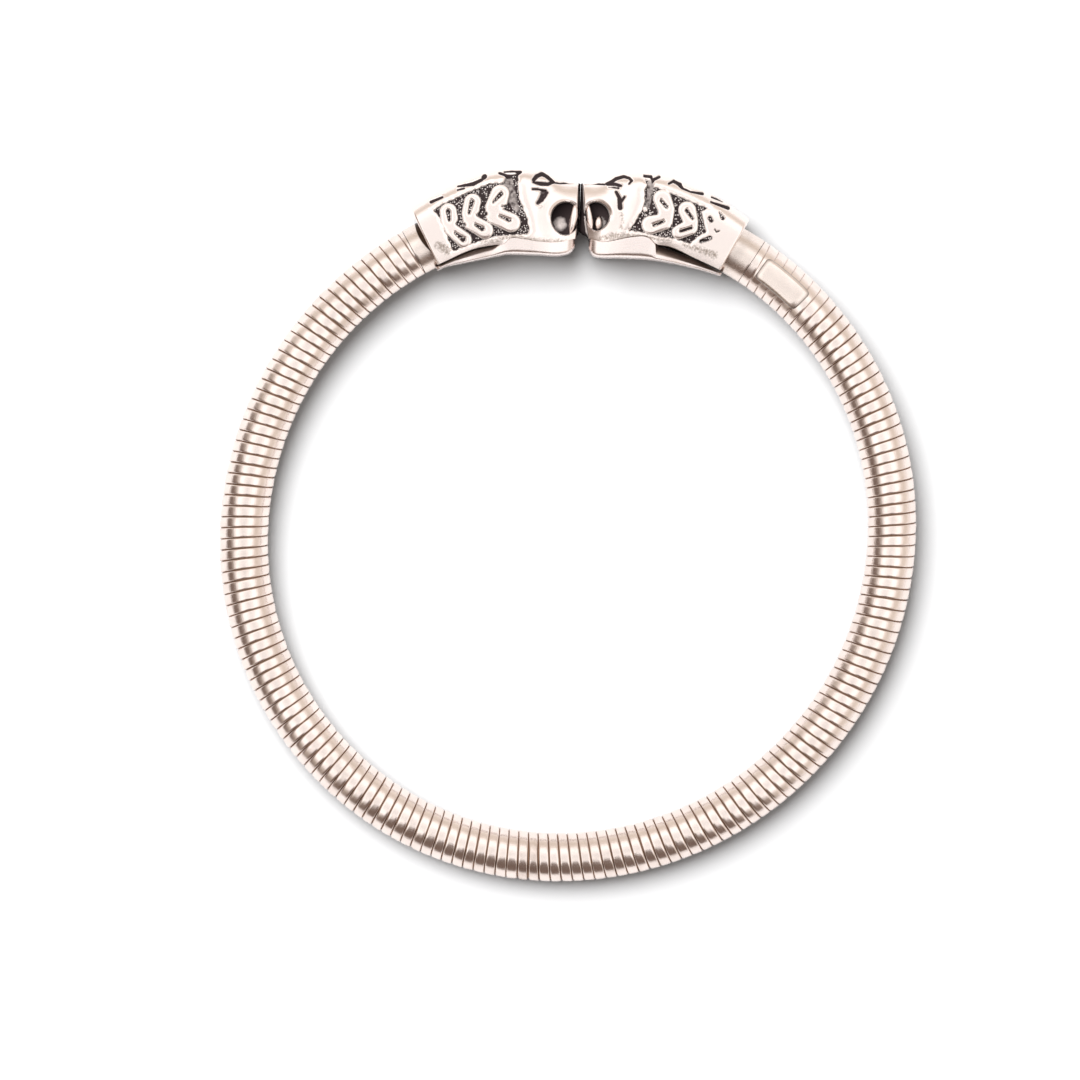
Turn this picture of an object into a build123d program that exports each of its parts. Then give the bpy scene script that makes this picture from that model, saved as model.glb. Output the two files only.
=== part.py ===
from build123d import *
from math import atan2, cos, degrees, radians, sin, sqrt
import os

# A spring coil bangle with two cast cat heads that face each other. Millimetres.
# The ring is drawn flat round the origin, with the heads at +Y and +Z up, and is then tipped
# by about a degree, because the heads are wider than the band and it rests on both of them.

# The ring and its coil
wrist_width = 59.9  # mean width of the hole
out_of_round = 1.6  # how much longer the ring is along its lean than across it
ring_lean = 47.0  # direction of the ring's long axis, from +X
band_diameter = 4.9
coil_wall = 0.7
turn_pitch = 1.05  # one turn of the coil along the band
groove_width = 0.16
groove_depth = 0.18

# The smooth sleeve at each end of the coil
sleeve_show = 2.0  # length that shows behind the head
sleeve_wall = 0.55
plug_length = 3.0  # how far the sleeve's plug reaches into the coil
fit_clearance = 0.1

# The cast heads
muzzle_gap = 0.4
head_length = 15.6  # along the ring, from muzzle to the back of the collar
head_width = 7.4  # across the cheeks
head_rise = 4.75  # forehead above the band's centre line
lip_drop = 3.1  # lip below the band's centre line
relief_height = 0.35  # the ornament stands this high above its ground
socket_length = 7.2  # how far the sleeve reaches into the head
collar_length = 2.0
collar_bore = 5.5
mouth_radius = 1.5
chin_back = 0.75  # the chin stands this far back from the ring's middle
tooth_diameter = 0.6
slit_width = 0.32

# The plate under each head, and the tongue that runs back from it along the sleeve
jaw_drop = 4.65  # chin below the band's centre line
seam_gap = 0.08
lip_overlap = 0.6  # the forms of head and plate are drawn this far past the lip line, then cut
tongue_length = 7.8
tongue_width = 3.2
tongue_root = 0.75
tongue_tip = 0.22
tongue_bow = 0.1  # how far the tongue's middle hangs below a straight line

# The bare tag soldered on the coil behind the right head
tag_length = 5.5
tag_width = 2.5
tag_thickness = 0.3
tag_corner = 0.4
tag_angle = 38.3  # from +Y
tag_offset = 0.2  # outside the band's centre line

band_radius = band_diameter / 2
ring_radius = (wrist_width + band_diameter) / 2

# Sections of a head, from muzzle to collar. Columns: station, as a share of head_length; crown
# and ridge above the centre line, as shares of head_rise; lip line below it, as a share of
# lip_drop; half widths at ridge, cheek and lip, as shares of half the head_width.
head_sections = (
    (0.00, 0.55, 0.40, 0.95, 0.46, 0.68, 0.60),
    (0.11, 0.66, 0.48, 1.00, 0.58, 0.82, 0.74),
    (0.21, 0.91, 0.70, 0.96, 0.68, 0.92, 0.84),
    (0.31, 0.98, 0.79, 0.84, 0.77, 0.98, 0.88),
    (0.46, 1.00, 0.80, 0.66, 0.80, 1.00, 0.88),
    (0.71, 0.93, 0.72, 0.50, 0.78, 0.98, 0.86),
    (1.00, 0.81, 0.62, 0.40, 0.76, 0.94, 0.84),
)

# Sections of the plate under a head. Columns: station, as a share of head_length; underside below
# the centre line, as a share of jaw_drop; half widths at the lip and the underside, as shares of
# half the head_width.
jaw_sections = (
    (0.05, 0.87, 0.64, 0.40),
    (0.11, 1.00, 0.74, 0.50),
    (0.30, 0.97, 0.87, 0.60),
    (0.52, 0.84, 0.87, 0.58),
)

# Looped leaves on each flank, in three pairs. Columns: station; rise, as a share of head_rise;
# length and width, as shares of head_width; lean towards the muzzle, in degrees.
leaf_loops = (
    (0.80, 0.34, 0.32, 0.24, 16),
    (0.79, -0.17, 0.35, 0.22, -32),
    (0.66, 0.35, 0.36, 0.26, 34),
    (0.64, -0.09, 0.39, 0.26, -43),
    (0.49, 0.40, 0.38, 0.27, 50),
    (0.475, -0.09, 0.42, 0.29, -54),
)
slit_share = 0.45  # length of the slit in a leaf, as a share of the leaf's

# Single marks on each flank, with the same columns as the leaves
ridge_bar = (0.68, 0.75, 0.84, 0.075, 84)
ear = (0.47, 0.83, 0.20, 0.15, 60)
eye_socket = (0.22, 0.69, 0.30, 0.14, 84)
eyeball = (0.22, 0.70, 0.17, 0.08, 84)
cheek_hollow = (0.215, 0.30, 0.20, 0.12, 10)

# Stations where the smooth face ends and the crown's plain strip begins
face_end = 0.36
crown_start = 0.46
crown_depth = 0.42  # of the strip, inwards from the silhouette

# The mouth's round end, and the long teeth. Stations, and rises as shares of head_rise.
mouth_station = 0.08
mouth_share = -0.13
tooth_top = (0.02, 0.20)
tooth_foot = (0.058, -0.56)
tooth_spread = 0.52  # distance of a tooth from the middle, as a share of half the head_width


# The ring's path: an oval of four bends, tight at the ends of its long axis, loose between them
bend_offset = out_of_round / 2 / (2 - sqrt(2))
tight_radius = ring_radius + out_of_round / 4 - bend_offset
loose_radius = tight_radius + bend_offset * sqrt(2)


def bend(index):
    """Centre and radius of a bend. Bend 0 is behind the right head, and bend 3 behind the left."""
    tight = index % 2 == 0
    reach = bend_offset if tight else -bend_offset
    centre = Vector(reach, 0).rotate(Axis.Z, ring_lean - 90 * index)
    return centre, tight_radius if tight else loose_radius


def path_plane(index, angle):
    """Plane across the band where the path's outward side has this angle, with +Y as up."""
    centre, radius = bend(index)
    outward = Vector(1, 0).rotate(Axis.Z, angle)
    return Plane(centre + outward * radius, x_dir=outward, z_dir=outward.rotate(Axis.Z, -90))


def rod(index, start, stop, radius, mode=Mode.ADD):
    """Round rod that follows a bend clockwise from one outward angle to another."""
    with BuildSketch(path_plane(index, start)) as end:
        Circle(radius)
    pivot = Axis(bend(index)[0], (0, 0, -1))
    revolve(end.sketch, axis=pivot, revolution_arc=start - stop, mode=mode)


def along(length):
    """Angle that a length along the ring takes up."""
    return degrees(length / ring_radius)


collar_angle = along(muzzle_gap / 2 + head_length)
coil_start = collar_angle + along(sleeve_show)


# The coil
def coil_stretch(index):
    """One bend of the coil: a tube with a groove round it at every turn."""
    centre, radius = bend(index)
    start = min(ring_lean + 45 - 90 * index, 90 - coil_start)
    stop = max(ring_lean - 45 - 90 * index, coil_start - 270)
    turns = round(radians(start - stop) * radius / turn_pitch)
    half_groove = degrees(groove_width / 2 / radius)
    with BuildPart() as groove:
        rod(index, half_groove, -half_groove, band_radius + groove_depth)
        rod(index, 2 * half_groove, -2 * half_groove, band_radius - groove_depth, Mode.SUBTRACT)
    first = 1 if index == 0 else 0
    last = turns - 1 if index == 3 else turns
    angles = [start - (start - stop) * turn / turns for turn in range(first, last + 1)]
    places = [Pos(centre) * Rot(0, 0, angle) * Pos(-centre) for angle in angles]
    with BuildPart() as stretch:
        rod(index, start, stop, band_radius)
        with Locations(*places):
            add(groove.part, mode=Mode.SUBTRACT)
        rod(index, start, stop, band_radius - coil_wall, Mode.SUBTRACT)
    return stretch.part


# The tag is a curved plate cut from a thicker rod, and it is one with the coil under it
with BuildPart() as tag:
    half_span = along(tag_length)
    rod(0, 90 - tag_angle + half_span, 90 - tag_angle - half_span, band_radius + tag_thickness)
    tag_plane = Plane(path_plane(0, 90 - tag_angle).origin, x_dir=path_plane(0, 90 - tag_angle).x_dir)
    with BuildSketch(tag_plane) as tag_outline:
        with Locations((tag_offset, 0)):
            RectangleRounded(tag_width, tag_length, tag_corner)
    extrude(tag_outline.sketch, amount=band_diameter, mode=Mode.INTERSECT)
    rod(
        0,
        90 - tag_angle + 2 * half_span,
        90 - tag_angle - 2 * half_span,
        band_radius - groove_depth,
        Mode.SUBTRACT,
    )

with BuildPart() as coil:
    for index in range(4):
        add(coil_stretch(index))
    add(tag.part)


# The sleeves
def outward_angle(side, angle):
    """Outward angle of the path at an angle from +Y, to the right of it or to the left."""
    return 90 - angle if side > 0 else angle - 270


def bend_of(side):
    """The bend behind the right head or the left one."""
    return 0 if side > 0 else 3


def side_rod(side, near, far, radius, mode=Mode.ADD):
    """Rod on one side of the ring, between two angles from +Y."""
    ends = sorted((outward_angle(side, near), outward_angle(side, far)), reverse=True)
    rod(bend_of(side), ends[0], ends[1], radius, mode)


sleeve_start = collar_angle - along(socket_length)
plug_radius = band_radius - coil_wall - fit_clearance
sleeve_bore = plug_radius - sleeve_wall


def end_sleeve(side):
    """Smooth tube from inside the head to the coil, with a thinner plug inside the coil."""
    plug_end = coil_start + along(plug_length)
    with BuildPart() as sleeve:
        side_rod(side, sleeve_start, coil_start - along(fit_clearance), band_radius)
        side_rod(side, sleeve_start, plug_end, plug_radius)
        side_rod(side, sleeve_start, plug_end, sleeve_bore, Mode.SUBTRACT)
    return sleeve.part


# The heads
def station_angle(station):
    """Angle from +Y of a station along the head."""
    return along(muzzle_gap / 2 + station * head_length)


def side_point(station, rise):
    """Point of the head's side view: station along it, rise above the band's centre line."""
    angle = radians(station_angle(station))
    return (ring_radius + rise) * sin(angle), (ring_radius + rise) * cos(angle)


def section_plane(station):
    """Plane across the head through the ring's axis: +X is outwards and +Y is up."""
    angle = radians(station_angle(station))
    return Plane(
        (0, 0, 0), x_dir=(sin(angle), cos(angle), 0), z_dir=(cos(angle), -sin(angle), 0)
    )


def head_form(inset):
    """Loft of the head's sections down past the lip, drawn in by the inset all round."""
    half_width = head_width / 2
    end_margin = inset / head_length
    with BuildPart() as form:
        for station, crown, ridge, lip, ridge_width, cheek_width, lip_width in head_sections:
            crown_at = ring_radius + crown * head_rise - inset
            ridge_at = ring_radius + ridge * head_rise - inset
            base_at = ring_radius - lip * lip_drop - lip_overlap + inset
            cheek_at = (ridge_at + base_at) / 2
            ridge_half = ridge_width * half_width - inset
            cheek_half = cheek_width * half_width - inset
            lip_half = lip_width * half_width - inset
            drawn_at = min(max(station, end_margin), 1 - end_margin)
            with BuildSketch(section_plane(drawn_at)):
                with BuildLine():
                    ThreePointArc(
                        (ridge_at, -ridge_half), (crown_at, 0), (ridge_at, ridge_half)
                    )
                    ThreePointArc(
                        (ridge_at, ridge_half), (cheek_at, cheek_half), (base_at, lip_half)
                    )
                    Line((base_at, lip_half), (base_at, -lip_half))
                    ThreePointArc(
                        (base_at, -lip_half), (cheek_at, -cheek_half), (ridge_at, -ridge_half)
                    )
                make_face()
        loft(ruled=True)
    return form.part


def under_lip(gap):
    """Side view of all that lies below the lip line by more than the gap."""
    points = [side_point(row[0], -row[3] * lip_drop - gap) for row in head_sections]
    far_front = side_point(-0.1, -2 * jaw_drop)
    far_back = side_point(1.2, -2 * jaw_drop)
    with BuildSketch() as region:
        with BuildLine():
            before = side_point(-0.1, -head_sections[0][3] * lip_drop - gap)
            after = side_point(1.2, -head_sections[-1][3] * lip_drop - gap)
            line = Spline(before, *points, after)
            Polyline(line @ 1, far_back, far_front, line @ 0)
        make_face()
    return region.sketch


collar_start = 1 - collar_length / head_length
above_crown = 1.5 * head_rise
below_lip = -1.5 * lip_drop


def patch(start, stop, low, high):
    """Patch of the side view between two stations and two rises."""
    middle = (start + stop) / 2
    with BuildSketch() as sector:
        with BuildLine():
            inner = ThreePointArc(
                side_point(start, low), side_point(middle, low), side_point(stop, low)
            )
            outer = ThreePointArc(
                side_point(start, high), side_point(middle, high), side_point(stop, high)
            )
            Line(inner @ 0, outer @ 0)
            Line(inner @ 1, outer @ 1)
        make_face()
    return sector.sketch


def crown_strip():
    """Side view of the plain strip along the crown, back to the end of the collar."""
    rows = [row for row in head_sections if row[0] >= crown_start]
    inner = [side_point(row[0], row[1] * head_rise - crown_depth) for row in rows]
    outer = [side_point(row[0], above_crown) for row in reversed(rows)]
    with BuildSketch() as strip:
        with BuildLine():
            Polyline(*inner, *outer, close=True)
        make_face()
    return strip.sketch


def mark(row, mode=Mode.ADD):
    """Rounded mark in the side view, from a row of the tables of leaves and marks."""
    station, rise, length, width, lean = row
    turn = 90 - station_angle(station) + lean
    with Locations(side_point(station, rise * head_rise)):
        SlotOverall(length * head_width, width * head_width, rotation=turn, mode=mode)


def slit(row):
    """The narrow slit along the middle of a leaf."""
    station, rise, length, width, lean = row
    mark((station, rise, length * slit_share, slit_width / head_width, lean), Mode.SUBTRACT)


# Side view of all that stands proud of the ground: face, collar, crown, leaves, ridge bar and ear
with BuildSketch() as ornament:
    add(patch(-0.1, face_end, below_lip, above_crown))
    add(patch(collar_start, 1.1, below_lip, above_crown))
    add(crown_strip())
    for row in leaf_loops:
        mark(row)
    for row in leaf_loops:
        slit(row)
    mark(ridge_bar)
    mark(ear)
    mark(eye_socket, Mode.SUBTRACT)
    mark(eyeball)
    mark(cheek_hollow, Mode.SUBTRACT)

with BuildPart() as raised:
    add(head_form(0))
    extrude(ornament.sketch, amount=head_width, both=True, mode=Mode.INTERSECT)

# The open mouth, seen from the side, and the chin set back under the muzzle
mouth_rise = mouth_share * head_rise
with BuildSketch() as mouth:
    with Locations(side_point(mouth_station, mouth_rise)):
        Circle(mouth_radius)
        with Locations((-mouth_radius, 0)):
            Rectangle(2 * mouth_radius, 1.9 * mouth_radius)
    with Locations(side_point(0, -lip_drop)):
        Rectangle(2 * chin_back, 2 * (lip_drop + mouth_rise))


def tooth(height):
    """Long tooth from the upper lip to the lower one, at a height above the ring's plane."""
    top = Vector(*side_point(tooth_top[0], tooth_top[1] * head_rise), height)
    foot = Vector(*side_point(tooth_foot[0], tooth_foot[1] * head_rise), height)
    with BuildSketch(Plane(top, z_dir=foot - top)) as end:
        Circle(tooth_diameter / 2)
    extrude(end.sketch, amount=(foot - top).length)


tooth_height = tooth_spread * head_width / 2
with BuildPart() as casting:
    add(head_form(relief_height))
    add(raised.part)
    extrude(under_lip(0), amount=head_width, both=True, mode=Mode.SUBTRACT)
    extrude(mouth.sketch, amount=head_width, both=True, mode=Mode.SUBTRACT)
    tooth(tooth_height)
    tooth(-tooth_height)
    with BuildSketch(section_plane(1 - relief_height / head_length)) as bore:
        with Locations((ring_radius, 0)):
            Circle(collar_bore / 2)
    extrude(bore.sketch, amount=head_length / 2, mode=Mode.SUBTRACT)


def cast_head(side):
    """The casting on its own side of the ring, with a socket for the sleeve."""
    with BuildPart() as head:
        if side > 0:
            add(casting.part)
        else:
            mirror(casting.part, about=Plane.YZ)
        socket_start = sleeve_start - along(fit_clearance)
        socket_end = coil_start + along(sleeve_show)
        side_rod(side, socket_start, socket_end, band_radius + fit_clearance, Mode.SUBTRACT)
    return head.part


# The jaw plates
jaw_back = jaw_sections[-1][0]
root_under = jaw_sections[-1][1] * jaw_drop
tip_station = jaw_back + tongue_length / head_length
tip_over = band_radius + 2 * fit_clearance


def tongue_line(root, end):
    """Long edge of the tongue in the side view, from its drop at the root to that at the tip."""
    middle = (jaw_back + tip_station) / 2
    return ThreePointArc(
        side_point(jaw_back, -root),
        side_point(middle, -(root + end) / 2 - tongue_bow),
        side_point(tip_station, -end),
    )


with BuildSketch() as tongue_side:
    with BuildLine():
        over = tongue_line(root_under - tongue_root, tip_over)
        under = tongue_line(root_under, tip_over + tongue_tip)
        Line(over @ 0, under @ 0)
        Line(over @ 1, under @ 1)
    make_face()


def lip_share(station):
    """Lip line's share of lip_drop at a station, straight between the rows of head_sections."""
    for near, far in zip(head_sections, head_sections[1:]):
        if station <= far[0]:
            share = (station - near[0]) / (far[0] - near[0])
            return near[3] + share * (far[3] - near[3])
    return head_sections[-1][3]


with BuildPart() as jaw:
    for station, under_share, lip_width, under_width in jaw_sections:
        lip_at = ring_radius - lip_share(station) * lip_drop + lip_overlap
        under_at = ring_radius - under_share * jaw_drop
        lip_half = lip_width * head_width / 2
        under_half = under_width * head_width / 2
        middle_at = 0.4 * lip_at + 0.6 * under_at
        middle_half = 0.75 * lip_half + 0.25 * under_half
        with BuildSketch(section_plane(station)):
            with BuildLine():
                Line((under_at, under_half), (under_at, -under_half))
                ThreePointArc(
                    (under_at, -under_half), (middle_at, -middle_half), (lip_at, -lip_half)
                )
                Line((lip_at, -lip_half), (lip_at, lip_half))
                ThreePointArc(
                    (lip_at, lip_half), (middle_at, middle_half), (under_at, under_half)
                )
            make_face()
    loft(ruled=True)
    extrude(under_lip(seam_gap), amount=head_width, both=True, mode=Mode.INTERSECT)
    extrude(tongue_side.sketch, amount=tongue_width / 2, both=True)


def jaw_plate(side):
    """The plate and its tongue on their own side of the ring, clear of the sleeve."""
    with BuildPart() as plate:
        if side > 0:
            add(jaw.part)
        else:
            mirror(jaw.part, about=Plane.YZ)
        plate_end = coil_start + along(sleeve_show)
        plate_start = sleeve_start - along(fit_clearance)
        side_rod(side, plate_start, plate_end, band_radius + fit_clearance, Mode.SUBTRACT)
    return plate.part


# The ring tips until both cheeks and the far side of the band touch the floor
widest = max(head_sections, key=lambda row: row[5])
cheek_rise = (widest[2] * head_rise - widest[3] * lip_drop) / 2
cheek_y = side_point(widest[0], cheek_rise)[1]
far_y = path_plane(2, -90).origin.Y
cheek_half = casting.part.bounding_box().max.Z
tip = degrees(atan2(cheek_half - band_radius, cheek_y - far_y))
lowest = (Rot(tip, 0, 0) * casting.part).bounding_box().min.Z
rest = Pos(0, 0, -lowest) * Rot(tip, 0, 0)

os.makedirs("parts", exist_ok=True)
pieces = {
    "coil_band": coil.part,
    "left_end_sleeve": end_sleeve(-1),
    "right_end_sleeve": end_sleeve(1),
    "left_head": cast_head(-1),
    "right_head": cast_head(1),
    "left_jaw_plate": jaw_plate(-1),
    "right_jaw_plate": jaw_plate(1),
}
for name, shape in pieces.items():
    with BuildPart() as piece:
        with Locations(rest):
            add(shape)
    piece.part.label = name
    export_step(piece.part, f"parts/{name}.step")
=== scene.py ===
# %% [markdown]
# # A spring coil bangle with two cast cat heads
# The bangle is one long strip of silver wound into a springy tube, which is bent to a ring. A plain
# sleeve closes each end of the tube, and a cast cat's head is soldered over each sleeve, so that the
# two heads face each other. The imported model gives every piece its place. Here each piece gets the
# surface and the finish that the eye sees.

from math import cos, radians, sin, sqrt

import bmesh
import bpy
import numpy as np
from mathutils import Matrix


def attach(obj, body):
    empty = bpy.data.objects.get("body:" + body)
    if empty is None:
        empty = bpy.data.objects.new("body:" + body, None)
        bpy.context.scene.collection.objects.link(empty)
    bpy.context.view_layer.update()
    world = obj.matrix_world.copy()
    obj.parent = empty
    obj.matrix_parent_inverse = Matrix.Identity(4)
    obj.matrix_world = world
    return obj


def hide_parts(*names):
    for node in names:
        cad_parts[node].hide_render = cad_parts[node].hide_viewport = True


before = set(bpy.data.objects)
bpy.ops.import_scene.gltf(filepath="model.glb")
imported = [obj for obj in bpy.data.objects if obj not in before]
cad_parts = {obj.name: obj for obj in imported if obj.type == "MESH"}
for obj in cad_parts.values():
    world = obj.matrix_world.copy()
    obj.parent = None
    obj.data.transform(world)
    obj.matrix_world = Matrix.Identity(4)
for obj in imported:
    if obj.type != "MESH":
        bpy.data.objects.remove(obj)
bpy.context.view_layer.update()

# %% [markdown]
# ## The shared sizes
# The pieces are worked out flat, in millimetres, with the ring round the origin and the heads at +Y.
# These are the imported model's own sizes, so that each new surface lands on the piece that it stands
# for.

# %% Sizes of ring, coil, sleeves and heads
RING_RADIUS = 32.4
OUT_OF_ROUND = 1.6
RING_LEAN = 47.0
BAND_RADIUS = 2.45
MUZZLE_GAP = 0.4
HEAD_LENGTH = 15.6
HEAD_WIDTH = 7.4
HEAD_RISE = 4.75
JAW_DROP = 4.65
SLEEVE_SHOW = 2.0
SOCKET_LENGTH = 7.2
FIT_CLEARANCE = 0.1
TIP = 1.11162
LIFT = 3.09342


def along(length):
    """Angle in degrees that a length along the ring takes up."""
    return np.degrees(length / RING_RADIUS)


COLLAR_ANGLE = along(MUZZLE_GAP / 2 + HEAD_LENGTH)
COIL_START = COLLAR_ANGLE + along(SLEEVE_SHOW)
SLEEVE_START = COLLAR_ANGLE - along(SOCKET_LENGTH)
print("collar ends at", round(COLLAR_ANGLE, 2), "degrees, coil starts at", round(COIL_START, 2))

# %% [markdown]
# ## The ring's path
# The ring isn't quite round. Four arcs make the oval: two tight ones at the ends of its long axis and
# two looser ones between them. A point of the path is a centre plus a radius in its outward direction,
# and the centre and the radius depend on which arc that direction falls in.

# %% The path as arrays
BEND_OFFSET = OUT_OF_ROUND / 2 / (2 - sqrt(2))
TIGHT_RADIUS = RING_RADIUS + OUT_OF_ROUND / 4 - BEND_OFFSET
LOOSE_RADIUS = TIGHT_RADIUS + BEND_OFFSET * sqrt(2)
bend_turn = np.radians(RING_LEAN - 90 * np.arange(4))
bend_reach = np.array([BEND_OFFSET, -BEND_OFFSET, BEND_OFFSET, -BEND_OFFSET])
bend_centres = bend_reach[:, None] * np.stack([np.cos(bend_turn), np.sin(bend_turn)], axis=1)
bend_radii = np.array([TIGHT_RADIUS, LOOSE_RADIUS, TIGHT_RADIUS, LOOSE_RADIUS])


def on_path(outward, rise, height):
    """Points beside the path: the arc's centre plus (its radius + rise) in the outward direction.

    outward is in degrees and runs clockwise from 92 to -268. Height is above the ring's plane."""
    index = np.clip(np.floor((RING_LEAN + 45 - outward) / 90), 0, 3).astype(int)
    reach = bend_radii[index] + rise
    x = bend_centres[index, 0] + reach * np.cos(np.radians(outward))
    y = bend_centres[index, 1] + reach * np.sin(np.radians(outward))
    return np.stack(np.broadcast_arrays(x, y, height), axis=-1)


def path_rise(angle, side):
    """Height of the path over the plain ring's circle, at an angle from +Y on one side.

    It is the length of the ray from the origin to the arc, less the ring's mean radius."""
    index = 0 if side > 0 else 3
    ray = np.radians(90 - side * angle)
    lean = ray - np.arctan2(bend_centres[index, 1], bend_centres[index, 0])
    offset = np.hypot(*bend_centres[index])
    beyond = np.sqrt(bend_radii[index] ** 2 - (offset * np.sin(lean)) ** 2)
    return offset * np.cos(lean) + beyond - RING_RADIUS


print("path rise at 25 degrees, right and left:", *np.round([path_rise(25, 1), path_rise(25, -1)], 3))

# %% [markdown]
# ## How the ring lies
# The heads are wider than the tube, so the ring lies tipped by about a degree. Every surface is tipped
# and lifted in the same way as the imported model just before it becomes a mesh.

# %% From flat millimetres to the resting place in metres
def settle(points):
    """Turn about the X axis by the tip, add the lift to Z, and change millimetres to metres."""
    x, y, z = np.moveaxis(np.asarray(points, float), -1, 0)
    turn = radians(TIP)
    placed = np.stack([x, y * cos(turn) - z * sin(turn), y * sin(turn) + z * cos(turn) + LIFT], axis=-1)
    return placed * 0.001


def smoothstep(low, high, value):
    """Soft step from 0 at low to 1 at high: 3t^2 - 2t^3 of the share t of the way."""
    share = np.clip((value - low) / (high - low), 0, 1)
    return share * share * (3 - 2 * share)


def smooth_line(stations, values, at):
    """Cubic curve through a table's values, with each slope taken from the two neighbours."""
    stations, values = np.asarray(stations, float), np.asarray(values, float)
    slopes = np.gradient(values, stations)
    index = np.clip(np.searchsorted(stations, at) - 1, 0, len(stations) - 2)
    step = stations[index + 1] - stations[index]
    t = np.clip((at - stations[index]) / step, 0, 1)
    start = (1 + 2 * t) * (1 - t) ** 2 * values[index] + t * (1 - t) ** 2 * step * slopes[index]
    end = t * t * (3 - 2 * t) * values[index + 1] + t * t * (t - 1) * step * slopes[index + 1]
    return start + end


# %% [markdown]
# ## From arrays to meshes
# A surface is a grid of points. Faces join each point to its neighbours along the rows and columns,
# and either direction may close on itself. One helper turns the arrays into a mesh, checks by the
# enclosed volume that its faces point outwards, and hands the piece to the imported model's body.

# %% Faces of a grid
def grid_faces(rows, columns, close_rows=False, close_columns=False):
    """Quads that join the points of a grid, numbered row by row."""
    ids = np.arange(rows * columns).reshape(rows, columns)
    if close_rows:
        ids = np.concatenate([ids, ids[:1]])
    if close_columns:
        ids = np.concatenate([ids, ids[:, :1]], axis=1)
    corners = (ids[:-1, :-1], ids[:-1, 1:], ids[1:, 1:], ids[1:, :-1])
    return np.stack(corners, axis=-1).reshape(-1, 4)


def capped_faces(rows, columns):
    """Quads of a closed tube's grid, and one flat face over each of its ends."""
    total = rows * columns
    ends = [list(range(columns)), list(range(total - columns, total))[::-1]]
    return grid_faces(rows, columns, close_columns=True).tolist() + ends


def bridge(first, second):
    """Triangles between two lines of points that run the same way but differ in number."""
    match = np.round(np.arange(len(first)) * (len(second) - 1) / (len(first) - 1)).astype(int)
    near = np.stack([first[:-1], first[1:], second[match[:-1]]], axis=1)
    steps = match[1:] != match[:-1]
    far = np.stack([first[1:], second[match[1:]], second[match[:-1]]], axis=1)[steps]
    return near.tolist() + far.tolist()


# %% A piece from points and faces
MERGE_DISTANCE = 2e-7


def make_piece(name, points, faces, material, nodes, masks=None, crease=38):
    """Mesh piece from flat points and faces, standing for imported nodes; masks are its attributes."""
    mesh = bpy.data.meshes.new(name)
    mesh.from_pydata(settle(points).reshape(-1, 3), [], [list(face) for face in faces])
    mesh.update()
    for mask, values in (masks or {}).items():
        kind = "FLOAT_VECTOR" if np.ndim(values) > 1 and np.shape(values)[-1] == 3 else "FLOAT"
        layer = mesh.attributes.new(mask, kind, "POINT")
        field = "vector" if kind == "FLOAT_VECTOR" else "value"
        layer.data.foreach_set(field, np.asarray(values, np.float32).ravel())
    work = bmesh.new()
    work.from_mesh(mesh)
    bmesh.ops.remove_doubles(work, verts=work.verts, dist=MERGE_DISTANCE)
    bmesh.ops.recalc_face_normals(work, faces=work.faces)
    if work.calc_volume(signed=True) < 0:
        bmesh.ops.reverse_faces(work, faces=work.faces)
    loose = sum(not edge.is_manifold for edge in work.edges)
    volume = work.calc_volume() * 1e9
    work.to_mesh(mesh)
    work.free()
    mesh.shade_smooth()
    mesh.set_sharp_from_angle(angle=radians(crease))
    piece = bpy.data.objects.new(name, mesh)
    bpy.context.scene.collection.objects.link(piece)
    mesh.materials.append(material)
    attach(piece, "root")
    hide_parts(*nodes)
    triangles = sum(len(polygon.vertices) - 2 for polygon in mesh.polygons)
    print(name, "triangles", triangles, "volume mm3", round(volume, 1), "open edges", loose)
    return piece


# %% [markdown]
# ## What old silver does
# Silver is a bright metal with a faint rosy warmth here. Where fingers never reach, sulphur turns it
# brown and then black. Two effects are shared by all the finishes, so each is a node group: one gives
# the colour of a tarnished place from a mask, the other the fine scratches of wear.

# %% A node group from named sockets
def new_group(name, inputs, outputs):
    """Empty shader node group with its inputs, their starting values, and its outputs."""
    group = bpy.data.node_groups.new(name, "ShaderNodeTree")
    for label, kind, value in inputs:
        socket = group.interface.new_socket(label, in_out="INPUT", socket_type="NodeSocket" + kind)
        socket.default_value = value
    for label, kind in outputs:
        group.interface.new_socket(label, in_out="OUTPUT", socket_type="NodeSocket" + kind)
    return group, group.nodes.new("NodeGroupInput"), group.nodes.new("NodeGroupOutput")


def feed(tree, target, value):
    """Gives an input its value: another node's socket is linked to it, and a constant is set."""
    if isinstance(value, bpy.types.NodeSocket):
        tree.links.new(value, target)
    else:
        target.default_value = value


def add_node(tree, kind, settings=None, **values):
    """Node in a tree, with its own settings and with constants or links in its named inputs."""
    node = tree.nodes.new("ShaderNode" + kind)
    for key, value in (settings or {}).items():
        setattr(node, key, value)
    for key, value in values.items():
        feed(tree, node.inputs[key.replace("_", " ")], value)
    return node


# %% Nodes that return a socket
def math_node(tree, operation, *values, clamp=False):
    """Math node whose inputs are numbers or sockets; it returns its output socket."""
    node = add_node(tree, "Math", {"operation": operation, "use_clamp": clamp})
    for target, value in zip(node.inputs, values):
        feed(tree, target, value)
    return node.outputs[0]


def mix_colour(tree, share, first, second):
    """Mix node for two colours, each a value or a socket; it returns the mixed colour's socket."""
    node = add_node(tree, "Mix", {"data_type": "RGBA"})
    for index, value in ((0, share), (6, first), (7, second)):
        feed(tree, node.inputs[index], value)
    return node.outputs[2]


# %% [markdown]
# The tarnish group mixes a clean and a dark colour by a mask, and breaks the mask's edge up with
# noise, so that no border looks painted. Its second output says how rough the place is, because a
# tarnished skin scatters light, and its third is the share of tarnish itself.

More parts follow.
